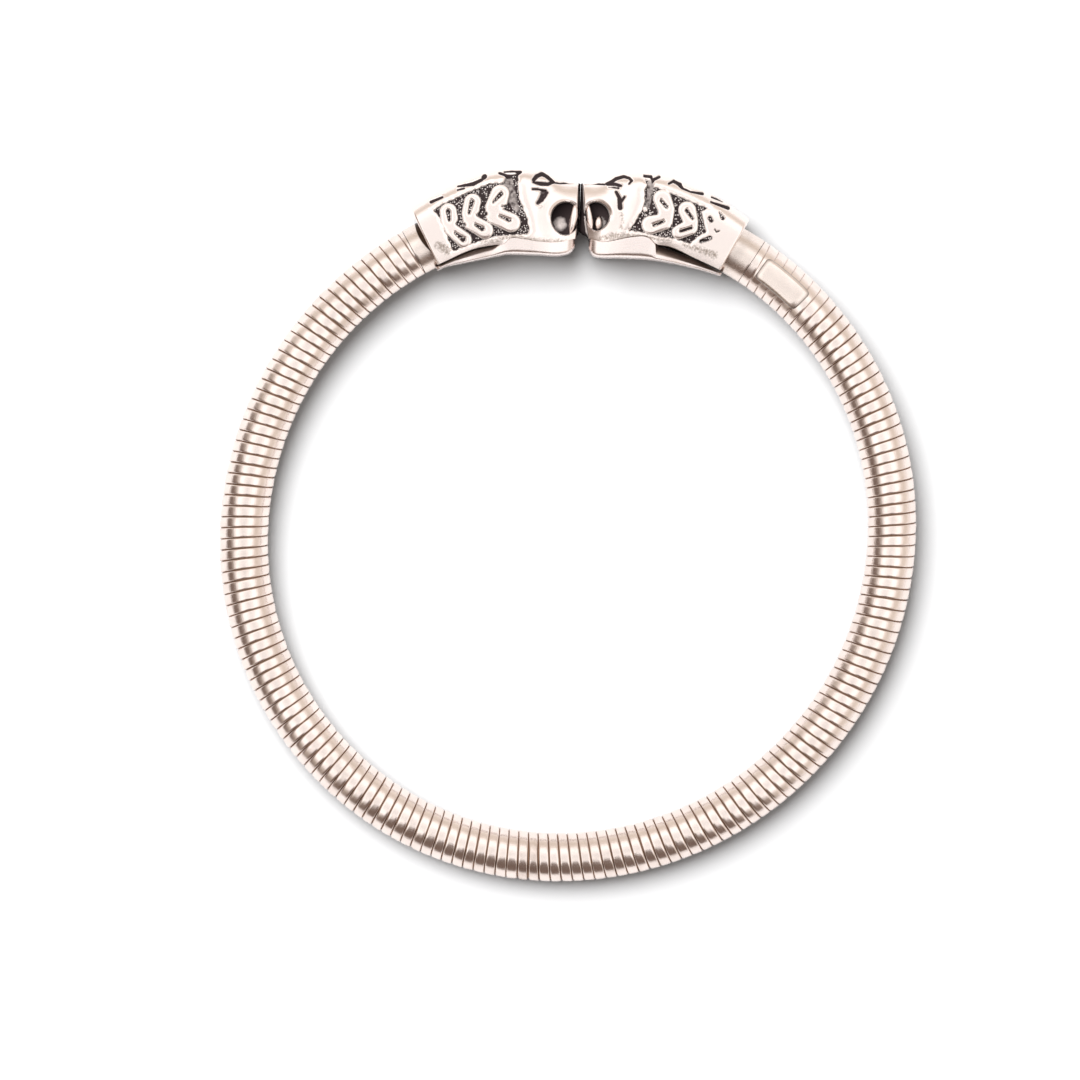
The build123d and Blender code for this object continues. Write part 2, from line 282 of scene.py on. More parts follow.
# %% The tarnish group
tarnish, tarnish_in, tarnish_out = new_group(
    "silver_tarnish",
    [
        ("Mask", "Float", 0.0),
        ("Clean", "Color", (0.93, 0.8, 0.74, 1)),
        ("Stain", "Color", (0.2, 0.12, 0.08, 1)),
        ("Noise Scale", "Float", 900.0),
        ("Break Up", "Float", 0.5),
        ("Clean Roughness", "Float", 0.25),
        ("Stain Roughness", "Float", 0.5),
        ("Cloud", "Float", 0.1),
    ],
    [("Color", "Color"), ("Roughness", "Float"), ("Share", "Float")],
)
given = tarnish_in.outputs
place = add_node(tarnish, "TexCoord").outputs["Object"]
speck = add_node(
    tarnish, "TexNoise", Vector=place, Scale=given["Noise Scale"], Detail=4.0, Roughness=0.6
)
cloud = add_node(tarnish, "TexNoise", Vector=place, Scale=160.0, Detail=3.0)
centred = math_node(tarnish, "SUBTRACT", speck.outputs[0], 0.5)
broken = math_node(tarnish, "MULTIPLY", centred, given["Break Up"])
clouded = math_node(tarnish, "MULTIPLY", cloud.outputs[0], given["Cloud"])
total = math_node(tarnish, "ADD", given["Mask"], clouded)
stained = math_node(tarnish, "MULTIPLY", total, 4.0, clamp=True)
share = math_node(tarnish, "ADD", total, math_node(tarnish, "MULTIPLY", broken, stained), clamp=True)
colour = mix_colour(tarnish, share, given["Clean"], given["Stain"])
span = math_node(tarnish, "SUBTRACT", given["Stain Roughness"], given["Clean Roughness"])
rough = math_node(tarnish, "MULTIPLY_ADD", span, share, given["Clean Roughness"])
for label, socket in (("Color", colour), ("Roughness", rough), ("Share", share)):
    tarnish.links.new(socket, tarnish_out.inputs[label])
print("group", tarnish.name, "has", len(tarnish.nodes), "nodes")

# %% [markdown]
# The wear group makes a height for bump from two noises: broad dents that bend the highlights a
# little, and fine hair scratches that run in a direction given by stretched coordinates.

# %% The wear group
wear, wear_in, wear_out = new_group(
    "silver_wear",
    [
        ("Vector", "Vector", (0, 0, 0)),
        ("Dent Scale", "Float", 700.0),
        ("Dents", "Float", 0.6),
        ("Scratch Scale", "Float", 1.0),
        ("Scratches", "Float", 0.4),
    ],
    [("Height", "Float"), ("Haze", "Float")],
)
given = wear_in.outputs
place = add_node(wear, "TexCoord").outputs["Object"]
dents = add_node(wear, "TexNoise", Vector=place, Scale=given["Dent Scale"], Detail=3.0, Roughness=0.5)
scratches = add_node(
    wear, "TexNoise", Vector=given["Vector"], Scale=given["Scratch Scale"], Detail=5.0, Roughness=0.65
)
dent_height = math_node(wear, "MULTIPLY", dents.outputs[0], given["Dents"])
scratch_height = math_node(wear, "MULTIPLY", scratches.outputs[0], given["Scratches"])
wear.links.new(math_node(wear, "ADD", dent_height, scratch_height), wear_out.inputs["Height"])
haze = math_node(wear, "MULTIPLY_ADD", scratches.outputs[0], 0.12, -0.06)
wear.links.new(haze, wear_out.inputs["Haze"])
print("group", wear.name, "has", len(wear.nodes), "nodes")

# %% [markdown]
# ## Four finishes
# Each finish is a metal with its own warmth, its own masks and its own depth of wear. The masks come
# from the shapes: the coil's tells how deep a point lies in a groove, the heads' tell the blackened
# ground from the polished relief.

# %% A silver material
SCRATCH_STRETCH = (1.2, 9.0, 1.2)
WEAR_DEPTH = 0.00004


def silver(name, clean, stain, roughness, stain_roughness, bump, noise_scale=900.0, cloud=0.1,
           break_up=0.5):
    """Metal whose colour and roughness come from its tarnish mask, and whose bump comes from wear."""
    material = bpy.data.materials.new(name)
    material.use_nodes = True
    tree = material.node_tree
    shader = tree.nodes["Principled BSDF"]
    shader.inputs["Metallic"].default_value = 1.0
    mask = add_node(tree, "Attribute", {"attribute_name": "tarnish"})
    stains = add_node(
        tree, "Group", {"node_tree": tarnish}, Mask=mask.outputs["Fac"], Clean=(*clean, 1),
        Stain=(*stain, 1), Noise_Scale=noise_scale, Break_Up=break_up, Clean_Roughness=roughness,
        Stain_Roughness=stain_roughness, Cloud=cloud,
    )
    tree.links.new(stains.outputs["Color"], shader.inputs["Base Color"])
    flow = add_node(tree, "Attribute", {"attribute_name": "flow"})
    stretch = add_node(tree, "VectorMath", {"operation": "MULTIPLY"}, Vector=flow.outputs["Vector"])
    stretch.inputs[1].default_value = SCRATCH_STRETCH
    marks = add_node(tree, "Group", {"node_tree": wear}, Vector=stretch.outputs[0])
    hazy = math_node(tree, "ADD", stains.outputs["Roughness"], marks.outputs["Haze"], clamp=True)
    tree.links.new(hazy, shader.inputs["Roughness"])
    relief = add_node(tree, "Bump", Strength=bump, Distance=WEAR_DEPTH, Height=marks.outputs["Height"])
    tree.links.new(relief.outputs[0], shader.inputs["Normal"])
    return material, tree, stains, shader


# %% The finishes
HEAD_CLEAN = (0.95, 0.84, 0.79)
coil_silver, *_ = silver(
    "coil_silver", (0.96, 0.84, 0.78), (0.3, 0.18, 0.12), 0.17, 0.45, 0.4, cloud=0.2, break_up=0.9
)
sleeve_silver, *_ = silver(
    "sleeve_silver", (0.95, 0.83, 0.76), (0.05, 0.03, 0.02), 0.24, 0.4, 0.4, cloud=0.2
)
plate_silver, *_ = silver(
    "plate_silver", (0.95, 0.84, 0.8), (0.25, 0.16, 0.11), 0.26, 0.5, 0.4, cloud=0.06
)
head_silver, head_tree, head_stains, head_shader = silver(
    "head_silver", HEAD_CLEAN, (0.014, 0.01, 0.01), 0.22, 0.5, 0.3, noise_scale=2600.0, cloud=0.0
)
print("finishes:", [finish.name for finish in (coil_silver, sleeve_silver, plate_silver, head_silver)])

# %% [markdown]
# Two things more belong to the heads. Solder and dirt have left a brown residue along the seams, which
# is the tarnish group again with its own mask and colours. And the blackened ground is strewn with fine
# silver granules, drawn as the cells of a Voronoi pattern, each with a bright round top. Where the
# metal is black it is no longer a mirror, so there the metallic value falls too.

# %% Residue and granules of the heads
GRANULE_SCALE = 4700.0
GRANULE_COLOUR = (0.92, 0.84, 0.8, 1)
soft_range = {"interpolation_type": "SMOOTHSTEP"}
residue_mask = add_node(head_tree, "Attribute", {"attribute_name": "residue"})
residue = add_node(
    head_tree, "Group", {"node_tree": tarnish}, Mask=residue_mask.outputs["Fac"],
    Clean=(*HEAD_CLEAN, 1), Stain=(0.27, 0.21, 0.165, 1), Noise_Scale=4600.0, Break_Up=2.4, Cloud=0.02,
)
head_tree.links.new(residue.outputs["Color"], head_stains.inputs["Clean"])
place = add_node(head_tree, "TexCoord").outputs["Object"]
cells = add_node(head_tree, "TexVoronoi", Vector=place, Scale=GRANULE_SCALE, Randomness=0.75)
to_cell = cells.outputs["Distance"]
top = add_node(head_tree, "MapRange", soft_range, Value=to_cell, From_Min=0.4, From_Max=0.26)
ground_mask = add_node(head_tree, "Attribute", {"attribute_name": "stipple"})
granule = math_node(head_tree, "MULTIPLY", top.outputs[0], ground_mask.outputs["Fac"], clamp=True)
bright = math_node(head_tree, "MULTIPLY", granule, 0.95)
colour = mix_colour(head_tree, bright, head_stains.outputs["Color"], GRANULE_COLOUR)
head_tree.links.new(colour, head_shader.inputs["Base Color"])
bare = math_node(head_tree, "SUBTRACT", 1.0, head_stains.outputs["Share"])
head_tree.links.new(math_node(head_tree, "MAXIMUM", bare, granule), head_shader.inputs["Metallic"])
head_shader.inputs["Specular IOR Level"].default_value = 0.02
worn = head_shader.inputs["Normal"].links[0].from_socket
grain = add_node(head_tree, "Bump", Strength=0.7, Distance=2 * WEAR_DEPTH, Height=granule, Normal=worn)
head_tree.links.new(grain.outputs[0], head_shader.inputs["Normal"])
print("head finish has", len(head_tree.nodes), "nodes")

# %% [markdown]
# ## The winding
# The tube is one strip of silver with a crowned outer face, wound side by side with itself 161 times.
# A single closed profile carried along the helix makes exactly that. One edge of the strip is stepped
# and laps under the next turn, so the lines between the turns are real gaps with a brown stained floor.
# The strip is cut off flat at both ends by stopping its length there. It is kept as four lengths, so
# that no mesh grows too large.

# %% The coil's length, and the turns at its marks
TURNS = 161
SEAM_ANGLE = -93.2
TAG_ANGLE = 38.3
angle_marks = np.array([90 - COIL_START, *(RING_LEAN - 45 - 90 * np.arange(3)), COIL_START - 270])
length_marks = np.concatenate([[0], np.cumsum(np.radians(-np.diff(angle_marks)) * bend_radii)])
coil_length = length_marks[-1]
pitch = coil_length / TURNS


def turn_at(outward):
    """Number of turns from the right head to an outward angle in degrees."""
    return np.interp(-outward, -angle_marks, length_marks) / pitch


seam_turn = turn_at(SEAM_ANGLE)
tag_turn = turn_at(90 - TAG_ANGLE)
print("coil", round(coil_length, 1), "mm,", TURNS, "turns of", round(pitch, 3), "mm, seam at turn",
      round(seam_turn, 1), ", tag at turn", round(tag_turn, 1))

# %% The strip's profile
STEPS = 72
GAP_SHARE = 0.048
GAP_WOBBLE = 0.012
CROWNING = 0.05
CROWN_WOBBLE = 0.02
SEAM_OPENING = 0.07
END_EASE = 0.004
TUBE_GIRTH = 15.4
# Columns: place across the strip, -1 and 1 at its edges, and depth below its face in millimetres.
strip_profile = np.array([
    (-1, 0.16), (-1, 0.07), (-0.985, 0.03), (-0.93, 0.008), (-0.8, 0), (-0.55, 0), (-0.28, 0), (0, 0),
    (0.28, 0), (0.55, 0), (0.8, 0), (0.93, 0.008), (0.985, 0.03), (1, 0.07), (1, 0.17), (1.42, 0.2),
    (1.42, 0.3), (-0.72, 0.3), (-0.72, 0.16),
])
LAP_START = 14
across, sunk = strip_profile.T


# %% The strip along its helix
def winding(first_turn, last_turn):
    """Grid of the strip between two turns: helix steps by profile points.

    The tube angle grows steadily with the length, so each turn moves on by one strip's width. Across
    the strip the surface drops as the eighth power of the distance from its middle. Slow sines make
    the turns a little uneven, and solder fills the gaps beside the heads and the tag."""
    steps = round((last_turn - first_turn) * STEPS)
    turn = first_turn + np.arange(steps + 1)[:, None] / STEPS
    around = 2 * np.pi * turn
    outer_side = (1 + np.cos(around - 0.5)) / 2
    by_head = np.clip(1 - np.minimum(turn, TURNS - turn) / 5, 0, 1)
    by_tag = np.exp(-(((turn - tag_turn) / 4.2) ** 4)) * smoothstep(0.25, 0.6, outer_side)
    filled = np.clip(by_head * 0.75 + by_tag, 0, 1)
    wobble = 0.5 * np.sin(turn * 2.3) + 0.4 * np.sin(turn * 0.71 + 1)
    tilt = 0.014 * np.sin(turn * 1.7 + 0.5) + 0.012 * np.sin(turn * 3.1 + 2)
    seam = np.exp(-(((turn - seam_turn) / 0.55) ** 4)) * smoothstep(0.3, 0.7, outer_side)
    half = 0.5 - (GAP_SHARE + GAP_WOBBLE * wobble) * (1 - 0.8 * filled) - SEAM_OPENING * seam
    crown = (CROWNING + CROWN_WOBBLE * wobble) * (1 - 0.75 * filled)
    place = turn + across * half
    length = np.clip(place * pitch, 0, coil_length - 3 * END_EASE) + END_EASE * (across + 1.1)
    top = np.clip(across, -1, 1)
    depth = crown * top**8 + tilt * top + (0.9 * sunk + 0.02) * (1 - 0.4 * filled)
    outward = np.interp(length, length_marks, angle_marks)
    radius = BAND_RADIUS - depth
    points = on_path(outward, radius * np.cos(around), radius * np.sin(around))
    # Painted shade: the strip's shoulders next to the gaps are darkened through the tarnish mask.
    shade = 0.3 * smoothstep(0.75, 1.0, np.abs(top)) + 0 * turn
    stain = np.where(np.arange(len(across)) >= LAP_START, 1.0, shade) * (1 - 0.5 * filled)
    flow = np.stack(np.broadcast_arrays(across * half * pitch, turn * TUBE_GIRTH, 0 * turn), axis=-1)
    return points, np.clip(stain + 0.25 * seam, 0, 1), flow


# %% The four lengths of winding
LENGTHS = 4
for number in range(LENGTHS):
    first = -0.5 if number == 0 else round(number * TURNS / LENGTHS)
    last = TURNS + 0.5 if number == LENGTHS - 1 else round((number + 1) * TURNS / LENGTHS)
    points, stain, flow = winding(first, last)
    faces = capped_faces(*points.shape[:2])
    make_piece(
        f"coil_winding_{number + 1}", points, faces, coil_silver, ["coil_band"],
        {"tarnish": stain, "flow": flow.reshape(-1, 3)}, crease=50,
    )

# %% [markdown]
# ## The tag
# A small plate sits on the coil behind the right head, curved to the tube. It is a rounded rectangle
# drawn as rings about its middle, and each ring is laid on the tube at its own height: flat on top,
# rolled over at the edge, and let into the coil.

# %% The tag's rings
TAG_LENGTH = 5.5
TAG_WIDTH = 2.5
TAG_THICKNESS = 0.3
TAG_CURVE = 4.5
TAG_POINTS = 96
CORNER_POWER = 9
# Columns: share of the way from the middle to the edge, and height in thicknesses.
tag_rings = np.array([
    (0, 1), (0.3, 1), (0.6, 1), (0.74, 1), (0.8, 0.97), (0.875, 0.83), (0.95, 0.68), (0.985, 0.56),
    (1, 0.42), (1, -0.6), (0.9, -0.9), (0.5, -0.9), (0, -0.9),
])
ring_share, ring_height = tag_rings[:, :1], tag_rings[:, 1:]
corner = np.linspace(0, 2 * np.pi, TAG_POINTS, endpoint=False)
rounded = np.abs(np.cos(corner)) ** CORNER_POWER + np.abs(np.sin(corner)) ** CORNER_POWER
rounded = rounded ** (-1 / CORNER_POWER)
lengthwise = TAG_LENGTH / 2 * rounded * np.sin(corner) * ring_share
aside = TAG_WIDTH / 2 * rounded * np.cos(corner) * ring_share
face_height = BAND_RADIUS + TAG_THICKNESS * ring_height - aside**2 / (2 * TAG_CURVE)
tube_height = np.sqrt((BAND_RADIUS + TAG_THICKNESS * ring_height) ** 2 - aside**2)
outward = 90 - TAG_ANGLE - np.degrees(lengthwise / RING_RADIUS)
tag_grid = on_path(outward, aside, np.where(ring_height > 0, face_height, tube_height))

# %% The tag as a closed plate
inner = len(tag_rings) - 2
tag_points = np.concatenate([tag_grid[0, :1], tag_grid[1:-1].reshape(-1, 3), tag_grid[-1, :1]])
ring_ids = 1 + np.arange(inner * TAG_POINTS).reshape(inner, TAG_POINTS)
face_fan = np.stack([0 * ring_ids[0], ring_ids[0], np.roll(ring_ids[0], -1)], axis=1)
base_fan = np.stack([0 * ring_ids[0] + ring_ids.size + 1, np.roll(ring_ids[-1], -1), ring_ids[-1]], axis=1)
tag_faces = (1 + grid_faces(inner, TAG_POINTS, close_columns=True)).tolist()
tag_faces += face_fan.tolist() + base_fan.tolist()
# The rolled edge is darkened all round as painted shade on the bevel, and the hidden base is dark.
tag_edge_shade = np.repeat(smoothstep(0.9, 1.0, ring_share[1:-1, 0]) * 0.6, TAG_POINTS)
make_piece(
    "tag", tag_points, tag_faces, sleeve_silver, ["coil_band"],
    {"tarnish": np.concatenate([[0.0], tag_edge_shade, [1.0]]), "flow": tag_points},
)

# %% [markdown]
# ## The sleeves
# A plain tube leaves each head and meets the coil. It is a closed profile of length and radius, turned
# round the path, with a thin plug that reaches into the coil. Solder from the head has run out on it,
# and that shows as a warm stain. Beside the left collar a dark crescent is painted on the sleeve as the
# shadow of the gap where the two don't meet.

# %% A tube from its profile
SLEEVE_GAP = 0.02
PLUG_LENGTH = 3.0
PLUG_RADIUS = 1.65
BORE_RADIUS = 1.1
SLEEVE_POINTS = 96
# Strength in the tarnish mask of the crescent's painted shadow.
FULL_PAINTED_SHADOW = 1.3


def sleeve_stain_and_shadow(points, angle, around, side):
    """Warm stain behind the collar, and on the left painted shadow: a dark crescent at the collar's edge.

    The crescent is widest on the outer side and narrows with the square of the way round."""
    behind = (angle - COLLAR_ANGLE - 0.6) / 1.0
    stain = 0.15 * np.exp(-(behind**2)) * (0.4 + 0.6 * (1 - np.cos(around)) / 2)
    turned = np.arctan2(np.abs(points[..., 0]), points[..., 1])
    beyond = (turned - np.radians(COLLAR_ANGLE)) * RING_RADIUS
    crescent = 0.45 * np.clip(1 - ((np.cos(around) - 0.45) / 0.8) ** 2, 0, 1)
    in_crescent = smoothstep(0.05, -0.05, beyond - crescent) * (side < 0) * (crescent > 0)
    return np.maximum(stain, FULL_PAINTED_SHADOW * in_crescent)


def sleeve(name, side):
    """Closed profile (length angle, radius) carried round the tube angle on one side of the ring."""
    coil_edge = COIL_START - along(SLEEVE_GAP)
    plug = COIL_START + along(PLUG_LENGTH)
    shown = [(angle, BAND_RADIUS) for angle in np.linspace(SLEEVE_START + 8, coil_edge - 0.3, 90)]
    profile = np.array([
        (SLEEVE_START, BAND_RADIUS), *shown, (coil_edge - 0.06, BAND_RADIUS - 0.02),
        (coil_edge, BAND_RADIUS - 0.1), (coil_edge, PLUG_RADIUS), (plug, PLUG_RADIUS),
        (plug, BORE_RADIUS), (SLEEVE_START, BORE_RADIUS),
    ])
    around = np.linspace(0, 2 * np.pi, SLEEVE_POINTS, endpoint=False)[None, :]
    angle, radius = profile[:, :1], profile[:, 1:]
    outward = 90 - angle if side > 0 else angle - 270
    points = on_path(outward, radius * np.cos(around), radius * np.sin(around) + 0 * angle)
    faces = grid_faces(len(profile), SLEEVE_POINTS, close_rows=True, close_columns=True)
    return make_piece(
        name, points, faces, sleeve_silver,
        ["left_end_sleeve" if side < 0 else "right_end_sleeve"],
        {"tarnish": sleeve_stain_and_shadow(points, angle, around, side), "flow": points.reshape(-1, 3)},
    )


sleeve("left_sleeve", -1)
sleeve("right_sleeve", 1)

# %% [markdown]
# ## The heads' form
# A head is read best from its side. Eight sections, from muzzle to collar, give the height of the
# crown and the half width of the flank. A smooth line through each column gives every section between
# them. The lips of the two castings were filed by hand, so each head has its own lip line, and the
# muzzles draw back from each other towards the chin by their own amounts.

# %% Sections of a head
# Columns: station, crown, ridge, and half widths at cheek and lip, as shares.
head_sections = np.array([
    (0.00, 0.60, 0.44, 0.68, 0.60),
    (0.07, 0.62, 0.46, 0.77, 0.69),
    (0.13, 0.70, 0.52, 0.84, 0.76),
    (0.18, 0.83, 0.62, 0.89, 0.81),
    (0.28, 0.92, 0.74, 0.96, 0.87),
    (0.46, 1.00, 0.80, 1.00, 0.88),
    (0.71, 0.94, 0.72, 0.98, 0.86),
    (1.00, 0.81, 0.62, 0.94, 0.84),
])
# Points of the left (-1) and right (1) lip lines: length from the muzzle and rise, in millimetres.
lip_points = {
    -1: np.array([(0, -3.0), (1.7, -3.3), (4.4, -3.1), (6, -2.65), (7.2, -2.4), (8.1, -2.85),
                  (9, -2.75), (11, -2.55), (14.8, -2.65), (15.6, -2.65)]),
    1: np.array([(0, -2.9), (2.8, -3.05), (4.2, -2.6), (5.4, -2.15), (7.2, -1.8), (8.2, -2.25),
                 (9.4, -2.1), (12.7, -2.2), (15.6, -2.1)]),
}
# Rise, and how far the front draws back there, in millimetres.
front_points = {
    -1: np.array([(-4.7, 0.5), (-3.9, 0.3), (-2.7, 0.12), (0, 0.05), (3, 0.05)]),
    1: np.array([(-4.0, 1.2), (-2.8, 0.85), (-1.1, 0.45), (0.9, 0.2), (2.4, 0.05)]),
}

# %% Lines along a head
HALF_WIDTH = HEAD_WIDTH / 2
LIP_EASE = 0.6
CROWN_POWER = 3.0
OUTER_POINTS = 261


def head_line(column, station):
    """One column of the sections' table as a smooth line over the stations."""
    return smooth_line(head_sections[:, 0], head_sections[:, column], station)


def lip_line(station, side):
    """Rise of one head's lip in millimetres, a smooth line through its points."""
    return smooth_line(lip_points[side][:, 0], lip_points[side][:, 1], station * HEAD_LENGTH)


# %% The outer half of a section
def outer_section(station, side):
    """Rise and half width of each section from one lip over the crown to the other.

    Above the cheek it is |z/cheek|^3 + |r/height|^n = 1, with n growing from muzzle to brow, so the
    crown is round and the flank flat. Below, the width eases in with the square of the drop. Points
    are spread evenly by length."""
    crown = head_line(1, station) * HEAD_RISE
    ridge = head_line(2, station) * HEAD_RISE
    lip = lip_line(station, side)
    cheek_half = head_line(3, station) * HALF_WIDTH
    lip_half = head_line(4, station) * HALF_WIDTH
    base = lip - LIP_EASE
    cheek = (ridge + base) / 2
    power = 3.6 + 1.6 * smoothstep(0.0, 0.2, station) - 0.6 * smoothstep(0.5, 1.0, station)
    turn = np.linspace(0, np.pi / 2, 160)[None, :]
    upper_z = cheek_half[:, None] * np.sin(turn) ** (2 / CROWN_POWER)
    upper_r = cheek[:, None] + (crown - cheek)[:, None] * np.cos(turn) ** (2 / power[:, None])
    drop = np.linspace(0, 1, 60)[None, 1:]
    lower_r = cheek[:, None] + (lip - cheek)[:, None] * drop
    share = (cheek - lip)[:, None] * drop / (cheek - base)[:, None]
    lower_z = cheek_half[:, None] - (cheek_half - lip_half)[:, None] * share**2
    flank_r = np.concatenate([upper_r, lower_r], axis=1)
    flank_z = np.concatenate([upper_z, lower_z], axis=1)
    steps = np.hypot(np.diff(flank_r, axis=1), np.diff(flank_z, axis=1))
    run = np.concatenate([np.zeros((len(station), 1)), np.cumsum(steps, axis=1)], axis=1)
    even = np.linspace(0, 1, OUTER_POINTS // 2 + 1)
    rise = np.array([np.interp(even * row[-1], row, value) for row, value in zip(run, flank_r)])
    half = np.array([np.interp(even * row[-1], row, value) for row, value in zip(run, flank_z)])
    rise = np.concatenate([rise[:, ::-1], rise[:, 1:]], axis=1)
    half = np.concatenate([half[:, ::-1], -half[:, 1:]], axis=1)
    return rise, half


def section_normals(rise, half):
    """Outward normals of each section: the direction along it, turned by a right angle."""
    across_r = np.gradient(rise, axis=1)
    across_z = np.gradient(half, axis=1)
    size = np.hypot(across_r, across_z)
    return -across_z / size, across_r / size


def side_view(station, rise):
    """Flat point of a head seen from its side, in millimetres, for the right head."""
    angle = np.radians(along(MUZZLE_GAP / 2 + station * HEAD_LENGTH))
    return (RING_RADIUS + rise) * np.sin(angle), (RING_RADIUS + rise) * np.cos(angle)


# %% [markdown]
# ## The ornament as distances
# Each leaf, slit, line and hollow is a stroke in the side view: a straight line whose half width
# changes evenly from one end to the other. The distance from a point to a stroke is simple arithmetic,
# and a soft step of that distance gives a crisp but rolled edge like that of a casting. The two heads
# come from worn moulds and differ, so each has its own strokes. They were measured in the picture,
# where what lies nearer the camera looks a little larger, so points are first moved to where they are
# seen.

# %% Strokes
SIGHT = 600.0


def seen_rise(rise, half):
    """Rise at which the camera sees a point: its distance from the ring's centre times 1 + z / sight."""
    return (RING_RADIUS + rise) * (1 + np.abs(half) / SIGHT) - RING_RADIUS


def stroke(x, y, row):
    """Signed distance to a stroke: the distance to its line, less the half width at that place."""
    start_u, start_r, end_u, end_r, start_half, end_half = row
    start_x, start_y = side_view(start_u / HEAD_LENGTH, start_r)
    end_x, end_y = side_view(end_u / HEAD_LENGTH, end_r)
    run_x, run_y = end_x - start_x, end_y - start_y
    squared = run_x**2 + run_y**2 + 1e-9
    share = np.clip(((x - start_x) * run_x + (y - start_y) * run_y) / squared, 0, 1)
    away = np.hypot(x - start_x - share * run_x, y - start_y - share * run_y)
    return away - (start_half + share * (end_half - start_half))


def nearest(x, y, rows):
    """Signed distance to the nearest of several strokes."""
    return np.min([stroke(x, y, row) for row in rows], axis=0)


# %% The left head's marks
# All in millimetres from the muzzle along the ring, and above the ring's middle line. The edges of the
# ornament's patch are points: face and collar give the length at a rise, top and low the rise at a
# length. Strokes are length and rise of both ends, then the half width at both. The mouth is its middle
# and its two half lengths, and the gleam is its middle and its size.
left_marks = {
    "face": [(-2.3, 5.5), (-1.9, 5.1), (-0.7, 5.15), (0.4, 5.4), (1.4, 5.65), (3.0, 5.6), (4.3, 5.35)],
    "collar": [(-2.2, 13.45), (2.0, 13.5), (2.7, 13.75)],
    "top": [(5.2, 4.0), (6.55, 3.95), (6.85, 3.4), (7.3, 3.38), (8.1, 3.55), (9.3, 3.33), (10.5, 3.2),
            (11.6, 3.0), (13.0, 2.9), (13.8, 2.6)],
    "low": [(5.0, -2.25), (7.0, -2.0), (8.6, -1.8), (10.2, -1.85), (13.5, -1.95)],
    "leaves": [(7.35, 2.3, 8.3, 1.1, 0.93, 0.78), (8.3, 0.25, 6.85, -0.8, 0.9, 0.97),
               (7.35, 2.3, 7.6, 1.55, 0.93, 0.85), (8.3, 1.1, 8.3, 0.3, 0.78, 0.85),
               (10.05, 2.15, 10.75, 1.15, 0.86, 0.68), (10.75, 0.25, 9.65, -0.95, 0.8, 0.87),
               (10.05, 2.15, 10.2, 1.5, 0.86, 0.7), (10.75, 1.15, 10.75, 0.3, 0.68, 0.75),
               (12.5, 2.0, 12.85, 1.05, 0.86, 0.74), (12.8, 0.15, 12.0, -1.25, 0.66, 0.8),
               (12.5, 2.0, 12.5, 1.3, 0.86, 0.74), (12.85, 1.05, 12.85, 0.2, 0.66, 0.62)],
    "notches": [(6.4, 0.95, 7.45, 1.0, 0.2, 0.04), (9.15, 0.65, 10.0, 0.7, 0.2, 0.04),
                (11.5, 0.2, 12.1, 0.28, 0.18, 0.04)],
    "slits": [(7.3, 2.25, 8.15, 1.6, 0.21, 0.1), (7.85, 0.1, 6.95, -0.55, 0.08, 0.15),
              (10.1, 2.2, 10.7, 1.15, 0.21, 0.1), (10.4, -0.15, 9.85, -0.75, 0.1, 0.2),
              (12.5, 2.0, 12.7, 1.15, 0.22, 0.12), (12.6, -0.3, 12.05, -1.2, 0.1, 0.23)],
    "lines": [(10.9, 4.1, 9.55, 3.9, 0.06, 0.17), (9.55, 3.9, 8.7, 4.1, 0.17, 0.12),
              (8.5, 4.28, 8.4, 4.36, 0.2, 0.2), (11.05, 3.76, 10.45, 3.72, 0.05, 0.06),
              (13.65, 3.55, 12.55, 3.58, 0.13, 0.08), (6.6, 4.45, 5.95, 4.42, 0.05, 0.07),
              (5.95, 4.42, 5.2, 4.25, 0.07, 0.09), (7.05, 4.4, 6.45, 4.03, 0.1, 0.12),
              (6.45, 4.03, 5.7, 4.0, 0.1, 0.08), (5.7, 4.0, 5.2, 4.2, 0.08, 0.08),
              (4.11, 3.25, 3.77, 3.67, 0.15, 0.19), (3.77, 3.67, 3.33, 3.86, 0.19, 0.2),
              (3.33, 3.86, 2.94, 3.61, 0.2, 0.17), (2.94, 3.61, 2.55, 3.18, 0.17, 0.16),
              (2.55, 3.18, 2.24, 2.96, 0.15, 0.07), (4.18, 2.98, 3.82, 2.87, 0.06, 0.13),
              (3.82, 2.87, 3.45, 2.78, 0.13, 0.18), (3.45, 2.78, 2.85, 2.71, 0.18, 0.16),
              (2.85, 2.71, 2.38, 2.94, 0.16, 0.12), (4.29, 2.28, 3.87, 2.22, 0.07, 0.09),
              (3.87, 2.22, 3.08, 2.04, 0.07, 0.05), (2.24, 2.91, 1.73, 2.83, 0.07, 0.05),
              (1.73, 2.83, 0.95, 2.87, 0.05, 0.07), (0.95, 2.87, 0.3, 2.87, 0.08, 0.07)],
    "hollows": [(3.42, 1.82, 3.0, 1.78, 0.27, 0.25), (3.25, 1.65, 3.58, 1.15, 0.4, 0.35),
                (3.58, 1.15, 3.92, 0.8, 0.33, 0.24)],
    "smooth": [(6.5, 3.7, 6.25, 1.2, 0.6, 0.5), (6.25, 1.2, 5.95, 0.2, 0.5, 0.25)],
    "residue": [(1.3, -3.2, 4.5, -3.0, 0.2, 0.3), (4.5, -3.0, 7.0, -2.2, 0.3, 0.25),
                (7.0, -2.2, 10.3, -1.95, 0.2, 0.1), (3.7, 0.48, 3.6, 0.42, 0.16, 0.16),
                (14.6, -0.8, 14.1, -1.5, 0.4, 0.45)],
    "mouth": (1.2, -0.86, 1.55, 1.66),
    "gleam": (1.8, -1.5, 0.85),
}

